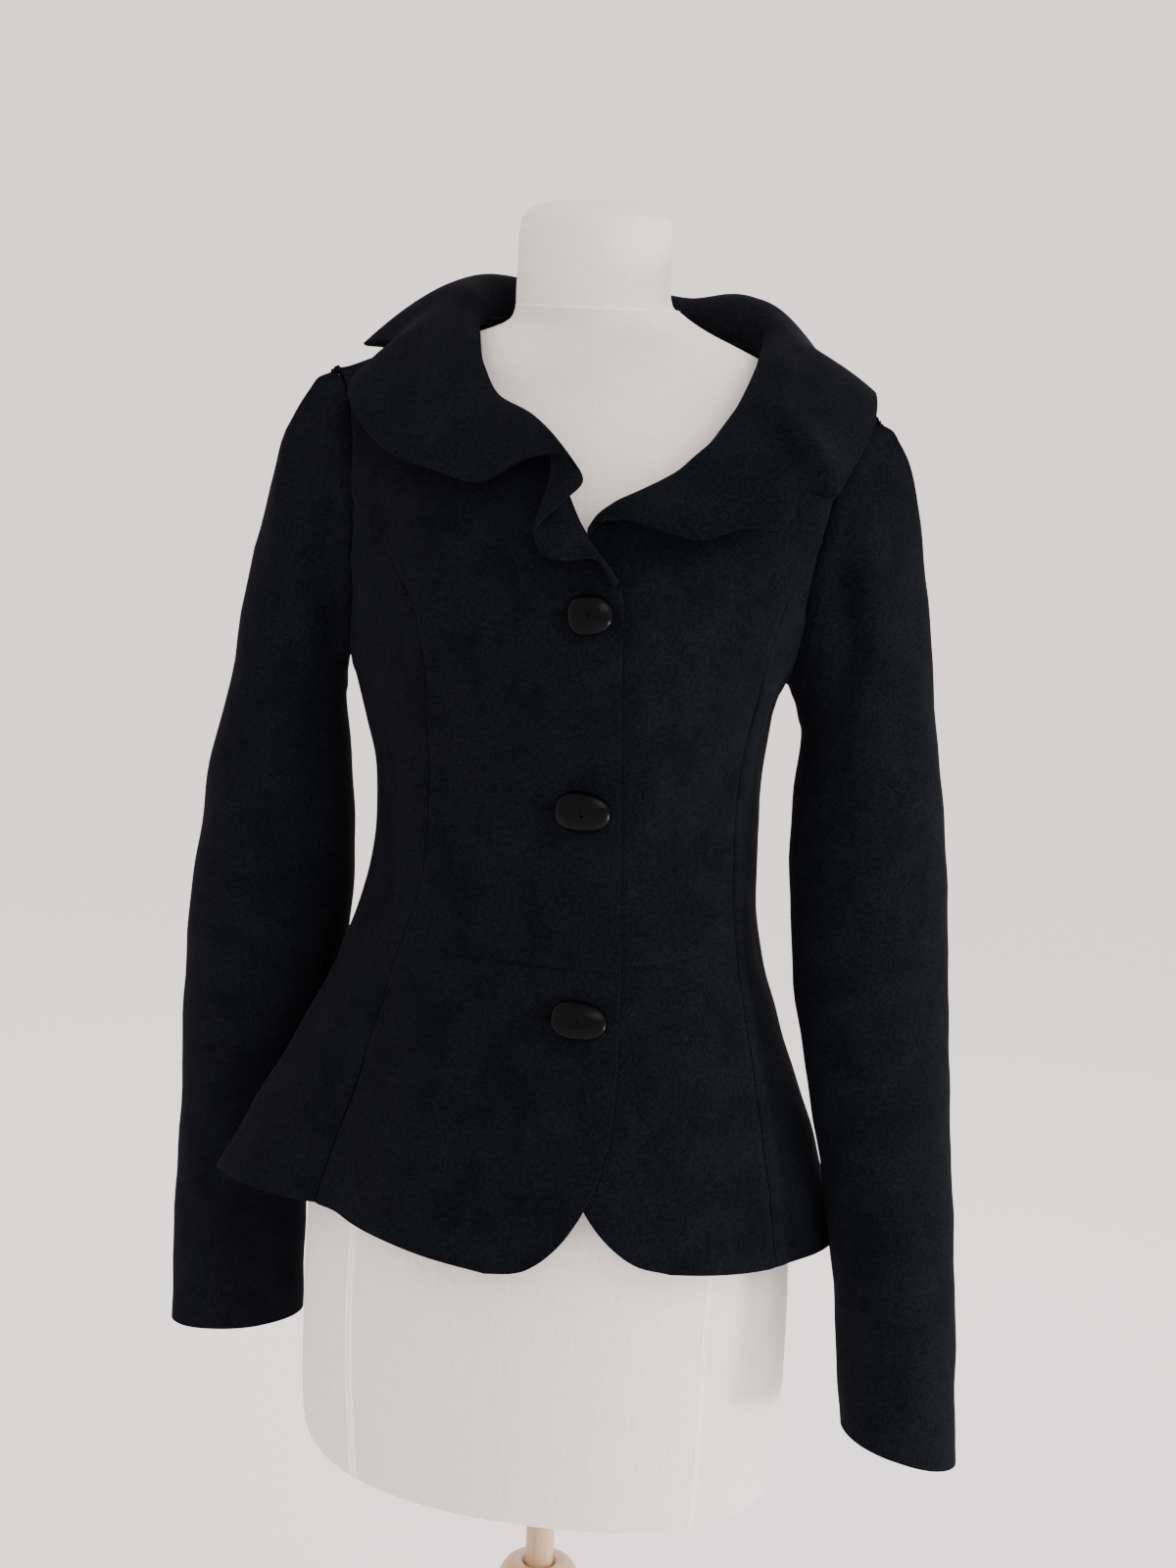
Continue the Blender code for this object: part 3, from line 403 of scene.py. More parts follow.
def neck_angles(table, count, front=True):
    """Evenly spread points of a neckline table, as angles and levels."""
    along = lengths_along(np.array(table))
    xs, zs = zip(*table)
    return [on_dome(float(np.interp(w, along, xs)), float(np.interp(w, along, zs)), front)
            for w in np.linspace(0, along[-1], count)]


def lapped(point):
    """Moves a point of the upper front out over the under front."""
    x, y, z = point
    share = smoothstep((x - (centre_x(z) - HALF_LAP) + LAP_EASE["before"]) / LAP_EASE["over"])
    return (x, y - OVERLAP_LIFT * share, z)


def grid_between(first, second, columns, top=None):
    """Rows of (angle, level) between two seams that have as many points each. A given top row
    draws the rows near it along."""
    first, second = np.array(first), np.array(second)
    rows = first[:, None] + (second - first)[:, None] * np.linspace(0, 1, columns + 1)[:, None]
    if top is not None:
        pull = np.linspace(0, 1, len(first))[:, None, None] ** 4
        rows = rows + (np.array(top) - rows[-1]) * pull
    return rows


def body_normal(angle, level):
    """The outward normal of the jacket's skin, the same for both pieces that meet at a seam. It
    turns upright towards the shoulder ridge, so that the walls there lie side by side."""
    low = min(level, UPRIGHT["last_curved"])
    across = np.array(body_point(angle + 0.5, low)) - np.array(body_point(angle - 0.5, low))
    upward = np.array(body_point(angle, low + 0.01)) - np.array(body_point(angle, low - 0.01))
    normal = unit(np.cross(across, upward))
    upright = smoothstep((level - UPRIGHT["from"]) / UPRIGHT["over"])
    side = UPRIGHT["lean"] if angle > 0 else -UPRIGHT["lean"]
    return unit(normal * (1 - upright) + np.array((side, 0.0, 1.0)) * upright)


def outer_seam(side, front):
    """The princess seam, then the armhole from where they meet up to the shoulder tip."""
    start = ARMHOLE["princess" if front else "back_princess"]
    above = [armhole(side, start * (1 - (step + 1) / ARMHOLE_ROWS), front)
             for step in range(ARMHOLE_ROWS)]
    return princess(side, front) + above


def armhole_shares(front):
    """Where the panels' corners lie on the armhole, from the shoulder tip to the underarm."""
    start = ARMHOLE["princess" if front else "back_princess"]
    upper = [start * step / ARMHOLE_ROWS for step in range(ARMHOLE_ROWS)]
    lower = [start + (1 - start) * step / SIDE_COLUMNS for step in range(SIDE_COLUMNS + 1)]
    return upper + lower


def neckline_points():
    """The collar's seam, from the lower end of the upper front round the back of the neck."""
    left = [lapped(body_point(*p)) for p in neck_angles(NECK_LEFT, NECK_POINTS)]
    back = [body_point(*p) for p in neck_angles(NECK_BACK, NECK_POINTS, front=False)]
    right = [body_point(*p) for p in neck_angles(NECK_RIGHT[1:], NECK_POINTS)][::-1]
    return np.array(left + back[1:-1] + right)


def smooth_columns(table, at):
    """All the columns of a table read smoothly at many places along its first column."""
    keys = np.array([row[0] for row in table])
    values = np.array([row[1:] for row in table])
    slopes = np.gradient(values, keys, axis=0)
    index = np.clip(np.searchsorted(keys, at) - 1, 0, len(keys) - 2)
    step = (keys[index + 1] - keys[index])[:, None]
    t = np.clip((at - keys[index])[:, None] / step, 0, 1)
    start, end = values[index], values[index + 1]
    return hermite(t, start, step * slopes[index], end, step * slopes[index + 1])


# Fineness of the cloth: steps for each step of the solid's grid
FINE_PANEL = 6
FINE_SLEEVE = 5
FINE_FORM = 4
COLLAR_FINE = (660, 34)
RIM = 0.0004                  # how far the faces of the cloth round over at its edges
# a seam allowance: its reach to each side of its seam, its top at the armhole, how deep it starts
# as a share of the wall, and how far its two faces lie behind the wall under the next piece
ALLOWANCE = {"own": 0.003, "next": 0.0045, "top": 1.262, "sunk": 0.7, "lift": 0.0004,
             "deep": 0.0011}

# Soft creases on the fronts and sleeves as seen from the front: points (x, z), half width, depth.
# A positive depth is a trough, a negative one a ridge.
FRONT_CREASES = metres([
    ([(-104, 1190), (-100, 1108), (-108, 1010)], 5, -0.7),
    ([(-118, 1300), (-128, 1250), (-120, 1205)], 10, 3),
    ([(-150, 1262), (-126, 1215), (-112, 1160)], 9, -1.6),
    ([(-135, 1180), (-118, 1120), (-114, 1060)], 10, 1.8),
    ([(118, 1290), (140, 1255), (138, 1215)], 11, 2.8),
    ([(132, 1200), (126, 1140), (112, 1080)], 10, 1.8),
    ([(-85, 1060), (-40, 1052), (0, 1060)], 12, 0.9),
    ([(40, 1050), (85, 1044), (112, 1052)], 11, 1),
    ([(-105, 1030), (-70, 1030), (-30, 1022)], 10, -0.8),
    ([(48, 1150), (80, 1100), (102, 1060)], 14, 1),
    ([(-20, 1180), (-60, 1140), (-88, 1090)], 16, 1),
    ([(-100, 980), (-125, 900), (-150, 830)], 16, 2),
    ([(95, 960), (112, 890), (122, 830)], 14, 1.8),
    ([(-30, 960), (-40, 890), (-50, 830)], 20, 1.2)])
# waist darts: points (x, z)
DARTS = metres([
    [(-80, 1000), (-22, 1001.5), (33.5, 1000.5)], [(36, 1003), (60, 1005.5), (83, 1009.5)]])
# grooves with a swell beside them; the darts' rows are split up within a band of heights
DART = {"depth": 0.0011, "half_width": 0.0011, "swell": 0.0004, "swell_at": 0.004,
        "swell_width": 0.003, "band": (0.990, 1.022), "rows": 5}
SEAM_DITCH = {"depth": 0.0004, "half_width": 0.0014, "swell": 0.0007, "swell_at": 0.006,
              "swell_width": 0.0032}
HEAD_DITCH = {"depth": 0.0006, "half_width": 0.0020, "swell": 0.0007, "swell_at": 0.008,
              "swell_width": 0.0045}
SLEEVE_CREASES = {
    "left": metres([
        ([(-190, 1330), (-196, 1300), (-199, 1255)], 7, -2.2),
        ([(-200, 1310), (-209, 1280), (-212, 1240)], 6, 2),
        ([(-160, 1290), (-166, 1250), (-158, 1200), (-162, 1150)], 8, 4),
        ([(-178, 1260), (-176, 1190), (-182, 1110)], 11, -2.2),
        ([(-215, 1060), (-190, 1035), (-165, 1030)], 9, 2.2),
        ([(-245, 985), (-215, 962), (-180, 968)], 9, 2),
        ([(-250, 900), (-220, 880), (-190, 892)], 12, 1.6),
        ([(-205, 1180), (-215, 1090), (-212, 1010)], 14, 1.8),
        ([(-248, 800), (-230, 770), (-200, 765)], 14, 1)]),
    "right": metres([
        ([(150, 1265), (166, 1235), (168, 1200), (160, 1160)], 9, 4),
        ([(168, 1270), (184, 1225), (186, 1180)], 10, -2.4),
        ([(203, 1310), (212, 1250), (214, 1190)], 9, 1.6),
        ([(155, 1105), (182, 1080), (210, 1085)], 9, 2.4),
        ([(162, 1030), (190, 1010), (222, 1018)], 9, 2),
        ([(170, 945), (200, 925), (232, 938)], 11, 2),
        ([(185, 855), (215, 845), (245, 862)], 13, 1.4),
        ([(222, 1150), (226, 1050), (224, 960)], 13, 1.4),
        ([(205, 770), (228, 750), (250, 752)], 14, 0.9)]),
}
BACK_CREASES = metres([
    ([(-150, 1250), (-118, 1205), (-70, 1190)], 14, 2.6),
    ([(155, 1240), (122, 1200), (78, 1188)], 13, 2.6),
    ([(-110, 1060), (-60, 1045), (-12, 1055)], 11, 1.6),
    ([(14, 1050), (66, 1040), (108, 1056)], 12, 1.6),
    ([(-95, 1100), (-55, 1088), (-15, 1092)], 13, -1.2),
    ([(20, 1096), (60, 1084), (100, 1098)], 13, -1.2),
    ([(-100, 960), (-90, 900), (-105, 830)], 18, 2.2),
    ([(60, 950), (52, 890), (70, 830)], 18, 2.2), ([(28, 1345), (0, 1335), (-30, 1343)], 14, 1.6)])
# slow swelling of all the cloth: height, and waves as (x, y, z) turns for each metre and a phase
SWELL = 0.0005
SWELL_WAVES = [((9.0, 6.0, 13.0), 0.3), ((-14.0, 8.0, 9.0), 1.9), ((7.0, -11.0, -21.0), 4.1),
               ((23.0, 5.0, 6.0), 2.6)]

# Buttons: peak ring (share, height), then the hole from its raised rim down (radius, height)
BUTTON_PEAK = (0.115, 0.01270)
BUTTON_HOLE = [(0.00165, 0.01295), (0.00140, 0.01300), (0.00115, 0.01285), (0.00100, 0.01230),
               (0.00095, 0.01080)]
BUTTON_AROUND = 72
BUTTON_ROUND = {"from": 0.12, "over": 0.5}   # shares over which the round hole becomes the outline
# Thread round a buttonhole
HOLE = {"stitches": 34, "half_height": 0.0011, "thread": 0.00019, "jitter": 0.00025}
# Buttonholes: x of the two ends beside each button, z
BUTTONHOLES = metres([
    (-18.5, -3.5, 1223.7), (-20, -6.2, 1101), (-16.5, -4.5, 971.5)])

# Seams on the linen, which run under the jacket: x at heights, half width, height
LINEN_SEAMS = metres([
    ([(628, -127), (700, -132), (760, -133), (820, -130), (900, -118)], 4, 1.2),
    ([(628, 97), (700, 99), (760, 99), (820, 101), (900, 92)], 2, 0.4)])
NECK_SEAM = {"z": 1.4045, "half_width": 0.0011, "height": 0.0005}
# section of a raised seam: shares of its half width and of its height
SEAM_PROFILE = [(-1.0, -0.8), (-0.75, 0.8), (-0.45, 1.0), (-0.15, 0.7), (0.0, -0.2), (0.15, 0.7),
                (0.45, 1.0), (0.75, 0.8), (1.0, -0.8)]
WEAVE_ROUND = 0.9          # the weave's turn of the form, beside a height of 1 metre

# Room: yaw, pitch and roll in degrees, the focal length as a share of the picture's height
CAMERA = {"place": (0, -1.54, 1.40), "turn": (0.3838, 11.1045, 2.5312), "focal": 2434 / 1600,
          "sensor": 36}
FLOOR = {"radius": 60, "sides": 96}
# name, place, target, size, power, colour
LIGHTS = [("key", (1.8, -1.9, 2.9), (0.0, 0.0, 1.1), (1.8, 1.8), 55, (1.0, 0.985, 0.97)),
          ("low_side", (1.5, -0.5, 0.45), (0.0, -0.13, 1.0), (0.16, 0.16), 24, (0.86, 0.93, 1.0)),
          ("back", (0.6, 2.4, 2.2), (0.0, 0.0, 1.1), (1.8, 1.2), 25, (1.0, 0.99, 0.97))]


def refine_axis(points, factor, closed):
    """Smooth points through a grid's rows, some for each step along its first axis."""
    if closed:
        line = np.concatenate([points[-1:], points, points[:2]])
    else:
        line = np.concatenate([[2 * points[0] - points[1]], points, [2 * points[-1] - points[-2]]])
    made = []
    for before, start, end, after in zip(line, line[1:], line[2:], line[3:]):
        for step in range(factor):
            t = step / factor
            cubic = 3 * (start - end) + after - before
            square = 2 * before - 5 * start + 4 * end - after + t * cubic
            made.append(start + 0.5 * t * (end - before + t * square))
    if not closed:
        made.append(points[-1])
    return np.array(made)


def refine(points, factor, closed=False):
    rows = refine_axis(points, factor, False)
    columns = refine_axis(np.swapaxes(rows, 0, 1), factor, closed)
    return np.swapaxes(columns, 0, 1)


def grid_normals(points, closed=False):
    if closed:
        around = np.roll(points, -1, axis=1) - np.roll(points, 1, axis=1)
    else:
        around = np.gradient(points, axis=1)
    upward = np.gradient(points, axis=0)
    normals = np.cross(around, upward)
    return unit(normals)


def trough(far, depth, half_width):
    return depth * np.exp(-(far / half_width) ** 2)


def ditch(far, shape):
    """A groove along a line, with a low swell beside it."""
    return (trough(far, shape["depth"], shape["half_width"])
            - trough(far - shape["swell_at"], shape["swell"], shape["swell_width"]))


def distance_to_line(xs, zs, line):
    """Distance of points from a broken line, both seen along Y, and the share along it."""
    best = np.full(xs.shape, 9.0)
    place = np.zeros(xs.shape)
    lengths = [math.dist(a, b) for a, b in zip(line, line[1:])]
    total = sum(lengths)
    passed = 0.0
    for (ax, az), (bx, bz), length in zip(line, line[1:], lengths):
        dx, dz = (bx - ax) / length, (bz - az) / length
        along = np.clip((xs - ax) * dx + (zs - az) * dz, 0, length)
        far = np.hypot(xs - ax - along * dx, zs - az - along * dz)
        nearer = far < best
        best = np.where(nearer, far, best)
        place = np.where(nearer, (passed + along) / total, place)
        passed += length
    return best, place


def creased(points, creases):
    """How far soft creases press each point in. They fade out at both ends."""
    xs, zs = points[..., 0], points[..., 2]
    deep = np.zeros(xs.shape)
    for line, half_width, depth in creases:
        far, place = distance_to_line(xs, zs, line)
        fade = np.clip(np.minimum(place, 1 - place) * 4, 0, 1)
        fade = 0.15 + 0.85 * fade * fade * (3 - 2 * fade)
        deep += trough(far, depth, half_width) * fade
    return deep


def swelling(points):
    total = np.zeros(points.shape[:2])
    for (a, b, c), phase in SWELL_WAVES:
        total += np.sin((points[..., 0] * a + points[..., 1] * b + points[..., 2] * c)
                        * 2 * math.pi + phase)
    return total * SWELL / 2


def edge_distance(points, axis, end):
    """Distance of each point from one edge of its grid, along the grid."""
    ordered = points if end == 0 else np.flip(points, axis=axis)
    steps = np.linalg.norm(np.diff(ordered, axis=axis), axis=2)
    pad = [(0, 0), (0, 0)]
    pad[axis] = (1, 0)
    far = np.cumsum(np.pad(steps, pad), axis=axis)
    return far if end == 0 else np.flip(far, axis=axis)


def seam_press(points, edges):
    """A ditch along each seam edge with a low swell beside it."""
    deep = np.zeros(points.shape[:2])
    for axis, end in edges:
        far = edge_distance(points, axis, end)
        deep += ditch(far, SEAM_DITCH)
    return deep


class Shader:
    """A material whose Principled shader gets its values and its nodes by short calls."""

    def __init__(self, name, **values):
        self.made = bpy.data.materials.new(name)
        self.made.use_nodes = True
        self.nodes = self.made.node_tree.nodes
        self.shader = self.nodes["Principled BSDF"]
        self.fill(self.shader, values)

    def fill(self, node, values):
        """Sets inputs of a node by name, or links them where the value is another output."""
        for key, value in values.items():
            self.put(node.inputs[key.replace("_", " ")], value)

    def put(self, socket, value):
        if isinstance(value, bpy.types.NodeSocket):
            self.made.node_tree.links.new(value, socket)
        else:
            socket.default_value = value

    def node(self, kind, output, settings=(), **values):
        made = self.nodes.new("ShaderNode" + kind)
        for key, value in dict(settings).items():
            setattr(made, key, value)
        self.fill(made, values)
        return made.outputs[output]

    def place(self, which):
        return self.node("TexCoord", which)

    def ramp(self, fac, low, high):
        """Colours between two stops, each a position and a colour."""
        made = self.nodes.new("ShaderNodeValToRGB")
        for stop, (position, colour) in zip(made.color_ramp.elements, (low, high)):
            stop.position = position
            stop.color = (*colour, 1)
        self.put(made.inputs["Fac"], fac)
        return made.outputs["Color"]

    def bump(self, height, strength, distance, **values):
        return self.node("Bump", "Normal", Strength=strength, Distance=distance, Height=height,
                         **values)


def cloth_material():
    wool = Shader("felted_wool", Roughness=0.95, Sheen_Weight=0.012, Sheen_Roughness=0.5,
                  Sheen_Tint=(0.55, 0.62, 0.80, 1), Specular_IOR_Level=0.02)
    place = wool.place("Object")
    felt, patches, lint = (
        wool.node("TexNoise", "Fac", Scale=scale, Detail=detail, Roughness=rough, Vector=place)
        for scale, detail, rough in ((520, 4, 0.7), (38, 3, 0.55), (1150, 1, 0.5)))
    ramp = wool.ramp(felt, (0.30, (0.0018, 0.0022, 0.0034)), (0.72, (0.0064, 0.0075, 0.0104)))
    tone = wool.ramp(patches, (0.35, (0.78, 0.78, 0.80)), (0.68, (1.18, 1.16, 1.12)))
    mixed = wool.node("Mix", "Result", {"data_type": "RGBA", "blend_type": "MULTIPLY"},
                      Factor=1, A=ramp, B=tone)
    specks = wool.ramp(lint, (0.735, (0, 0, 0)), (0.80, (1, 1, 1)))
    linted = wool.node("Mix", "Result", {"data_type": "RGBA"}, Factor=specks, A=mixed,
                       B=(0.022, 0.024, 0.028, 1))
    normal = wool.bump(patches, 0.5, 0.0012, Normal=wool.bump(felt, 1.0, 0.0008))
    wool.fill(wool.shader, {"Base_Color": linted, "Normal": normal})
    return wool.made


def plain_material(name, colour, roughness, **more):
    return Shader(name, Base_Color=(*colour, 1), Roughness=roughness, **more).made


def linen_material():
    linen = Shader("linen", Roughness=0.9, Specular_IOR_Level=0.2, Sheen_Weight=0.06)
    place = linen.place("UV")
    threads = []
    for stretch in ((40, 1300, 1), (1400, 36, 1)):
        mapped = linen.node("Mapping", "Vector", Scale=stretch, Vector=place)
        threads.append(linen.node("TexNoise", "Fac", Scale=1, Detail=3, Roughness=0.6,
                                  Vector=mapped))
    weave = linen.node("Mix", "Result", Factor=0.5, A=threads[0], B=threads[1])
    tone = linen.ramp(weave, (0.32, (0.70, 0.645, 0.595)), (0.62, (0.835, 0.785, 0.735)))
    linen.fill(linen.shader, {"Base_Color": tone, "Normal": linen.bump(weave, 0.6, 0.0005)})
    return linen.made


def beech_material():
    beech = Shader("beech", Roughness=0.42, Coat_Weight=0.15, Coat_Roughness=0.3)
    along = beech.node("Mapping", "Vector", Scale=(1.0, 1.0, 0.05), Vector=beech.place("Object"))
    grain = beech.node("TexNoise", "Fac", Scale=300, Detail=4, Vector=along)
    figure = beech.node("TexNoise", "Fac", Scale=40, Distortion=0.8, Vector=along)
    mixed = beech.node("Mix", "Result", Factor=0.5, A=grain, B=figure)
    tone = beech.ramp(mixed, (0.30, (0.40, 0.255, 0.135)), (0.66, (0.55, 0.375, 0.215)))
    beech.fill(beech.shader, {"Base_Color": tone, "Normal": beech.bump(grain, 0.15, 0.0004)})
    return beech.made


def put_in_scene(name, data):
    made = bpy.data.objects.new(name, data)
    bpy.context.scene.collection.objects.link(made)
    return made


def mesh_object(name, points, faces, finish, sharp=60):
    mesh = bpy.data.meshes.new(name)
    mesh.from_pydata([tuple(p) for p in points], [], faces)
    mesh.update()
    mesh.shade_smooth()
    mesh.set_sharp_from_angle(angle=math.radians(sharp))
    mesh.materials.append(finish)
    return put_in_scene(name, mesh)


def grid_faces(rows, columns, closed=False, base=0):
    """The quads of a grid of points whose numbers start at base."""
    return [(base + r * columns + c, base + r * columns + (c + 1) % columns,
             base + (r + 1) * columns + (c + 1) % columns, base + (r + 1) * columns + c)
            for r in range(rows - 1) for c in range(columns if closed else columns - 1)]


def end_faces(rows, columns):
    """Flat ends for a closed grid: its first and its last ring."""
    last = (rows - 1) * columns
    return [tuple(reversed(range(columns))), tuple(range(last, last + columns))]


def edge_and_next(axis, end):
    """Where one edge of a grid lies, and the row or column beside it."""
    edge, beside = [slice(None)] * 2, [slice(None)] * 2
    edge[axis] = end
    beside[axis] = 1 if end == 0 else -2
    return tuple(edge), tuple(beside)


def allowance(edge, inside, normals, points, faces, base, closed=False):
    """The turned-in strip of cloth behind a seam, from this piece to under the next one."""
    towards = unit(inside - edge)
    own, over = ALLOWANCE["own"], -ALLOWANCE["next"]
    near, far = WALL + ALLOWANCE["lift"], WALL + ALLOWANCE["deep"]
    section = (own, WALL * ALLOWANCE["sunk"]), (over, near), (over, far), (own, far)
    lines = [edge + towards * step - normals * deep for step, deep in section]
    points.append(np.concatenate(lines))
    count = len(edge)
    ends = [base + line * count for line in range(4)]
    for first, second in zip(ends, ends[1:] + ends[:1]):
        for index in range(count if closed else count - 1):
            after = (index + 1) % count
            faces.append((first + index, first + after, second + after, second + index))
    if not closed:
        faces.append(tuple(reversed(ends)))
        faces.append(tuple(end + count - 1 for end in ends))
    return base + 4 * count


def cloth_wall(name, outer, normals, finish, closed=False, allowances=(), extra_strip=None):
    """A cloth shell with softly rounded rims: the outer face, a rim and the inner face, and the
    seam allowances behind the edges that are named."""
    rows, columns = outer.shape[:2]
    strips = []
    for axis, end in allowances:
        edge, beside = edge_and_next(axis, end)
        low = outer[edge][:, 2] < ALLOWANCE["top"]
        strips.append((outer[edge][low], outer[beside][low], normals[edge][low]))
    if extra_strip is not None:
        strips.append(extra_strip)
    inner = outer - normals * WALL
    middle = (outer - normals * WALL / 2).reshape(-1, 3)
    for axis, end in [(0, 0), (0, -1)] + ([] if closed else [(1, 0), (1, -1)]):
        edge, beside = edge_and_next(axis, end)
        for face in (outer, inner):
            towards = face[beside] - face[edge]
            length = np.maximum(np.linalg.norm(towards, axis=-1, keepdims=True), 1e-9)
            face[edge] = face[edge] + towards / length * np.minimum(RIM, 0.5 * length)
    points = [outer.reshape(-1, 3), inner.reshape(-1, 3)]
    size = rows * columns
    faces = grid_faces(rows, columns, closed)
    faces += [tuple(size + i for i in reversed(quad)) for quad in faces]
    first, last = list(range(columns)), list(range(size - 1, size - columns - 1, -1))
    if closed:
        loops = [first, last]
    else:
        up = list(range(2 * columns - 1, size - 1, columns))
        down = list(range(size - 2 * columns, 0, -columns))
        loops = [first + up + last + down]
    base = 2 * size
    for loop in loops:
        points.append(middle[loop])
        for index, a in enumerate(loop):
            after = (index + 1) % len(loop)
            b, m, n = loop[after], base + index, base + after
            faces += [(b, a, m, n), (n, m, size + a, size + b)]
        base += len(loop)
    for edge, beside, edge_normals in strips:
        base = allowance(edge, beside, edge_normals, points, faces, base, closed)
    return mesh_object(name, np.concatenate(points), faces, finish)


def declare(piece, node):
    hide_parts(node)
    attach(piece, "root")


def declare_cloth(piece, node):
    declare(piece, node)


def panel_grid(rows, lap=False):
    """The outer face of one cut piece, fine, with columns that run towards +X at the front."""
    points = np.array([[body_point(*place) for place in row] for row in rows])
    if lap:
        points = np.array([[lapped(p) for p in row] for row in points])
    flipped = rows[0, 0, 0] > rows[0, -1, 0]
    if flipped:
        points, rows = points[:, ::-1], rows[:, ::-1]
    away = 1 if np.abs(rows[..., 0]).mean() > 90 else -1
    points[rows[..., 1] > UPRIGHT["last_curved"], 1] += away * SHOULDER_PART
    return refine(points, FINE_PANEL), flipped


def front_rows(side):
    neck = NECK_LEFT if side == "left" else NECK_RIGHT
    inner = front_edge(side) + neck_angles(neck, CHEST_ROWS)
    return grid_between(inner, outer_seam(side, True), FRONT_COLUMNS)


def back_rows(side):
    sign = sign_of(side)
    xs, zs = [r[0] for r in NECK_BACK], [r[1] for r in NECK_BACK]
    middle = on_dome(sign * 1e-6, float(np.interp(0, xs, zs)), front=False)
    inner = [(sign * 180.0, level) for level in skirt_rows(sign * 180)]
    inner += [(sign * 180.0, middle[1] * (step + 1) / CHEST_ROWS) for step in range(CHEST_ROWS)]
    neck = [row for row in NECK_BACK if row[0] * sign > 0]
    neck.sort(key=lambda row: abs(row[0]))
    top = [inner[-1]]
    for step in range(1, 5):
        x = neck[-1][0] * step / 4
        top.append(on_dome(x, float(np.interp(x, xs, zs)), front=False))
    start = top[-1][0]
    for step in range(1, 5):
        top.append((start + (sign * 90 - start) * step / 4, 1.0))
    return grid_between(inner, outer_seam(side, False), 8, top)


def side_rows(side, front):
    start = ARMHOLE["princess" if front else "back_princess"]
    seam, edge = princess(side, front), side_seam(side)
    keys = np.linspace(0, 1, len(edge))
    edge = [(float(np.interp(w, keys, [e[0] for e in edge])),
             float(np.interp(w, keys, [e[1] for e in edge]))) for w in np.linspace(0, 1, len(seam))]
    top = [armhole(side, start + (1 - start) * c / SIDE_COLUMNS, front)
           for c in range(SIDE_COLUMNS + 1)]
    return grid_between(seam, edge, SIDE_COLUMNS, top)


def denser_rows(points, low, high, split):
    """The grid with each row interval between two heights split up further."""
    rows = [points[0]]
    for before, after in zip(points[:-1], points[1:]):
        inside = low < before[:, 2].mean() < high
        for step in range(1, split + 1 if inside else 2):
            share = step / (split if inside else 1)
            rows.append(before + (after - before) * share)
    return np.array(rows)


def cloth_panel(name, rows, creases, seams, finish, lap=False):
    points, flipped = panel_grid(rows, lap)
    places = {"inner": (1, -1 if flipped else 0), "outer": (1, 0 if flipped else -1),
              "top": (0, -1)}
    edges = [places[which] for which in seams]
    front = name.startswith("front")
    if front:
        points = denser_rows(points, *DART["band"], DART["rows"])
    deep = creased(points, creases) + swelling(points) + seam_press(points, edges)
    for line in DARTS if front else []:
        far, _ = distance_to_line(points[..., 0], points[..., 2], line)
        deep += ditch(far, DART)
    points = points - grid_normals(points) * deep[..., None]
    normals = grid_normals(points)
    shoulder = None
    if front:
        shoulder = tuple(face[3:-3].copy() for face in (points[-1], points[-2], normals[-1]))
    made = cloth_wall(f"cloth_{name}", points, normals, finish, extra_strip=shoulder,
                      allowances=[edge for edge in edges if edge[0] == 1])
    declare_cloth(made, name)


def sleeve_grid(side):
    sign = sign_of(side)
    table = SLEEVE_LEFT if side == "left" else SLEEVE_RIGHT
    places = [(share, True) for share in armhole_shares(True)]
    places += [(share, False) for share in armhole_shares(False)[-2:0:-1]]
    loop = np.array([body_point(*armhole(side, *place)) for place in places])
    rim_normals = np.array([body_normal(*armhole(side, *place)) for place in places])
    away = unit(np.cross(rim_normals, np.roll(loop, -1, axis=0) - np.roll(loop, 1, axis=0)))
    away *= math.copysign(1, sign * away[0, 0])
    first = loop + away * CAP_GAP
    turns = np.array([math.pi * (share if front else 2 - share) for share, front in places])
    rings = []
    for index, (z, centre_x, half_x, centre_y, half_y) in enumerate(table):
        xs = centre_x + sign * half_x * np.cos(turns)
        ys = centre_y - half_y * np.sin(turns)
        tilted = max(0.0, (index - CUFF_FROM) / (len(table) - 1 - CUFF_FROM))
        rings.append(np.stack([xs, ys, z + CUFF_TILT[side] * tilted * (xs - centre_x)], axis=1))
    reach = np.linalg.norm(rings[0] - first, axis=1, keepdims=True)
    start_way, end_way = (np.array([sign * way["out"], 0, -way["down"]]) * reach
                          for way in (CAP_START, CAP_END))
    cap = [hermite(t, first, start_way, rings[0], end_way) for t in CAP_STEPS]
    return np.array(cap + rings), rim_normals


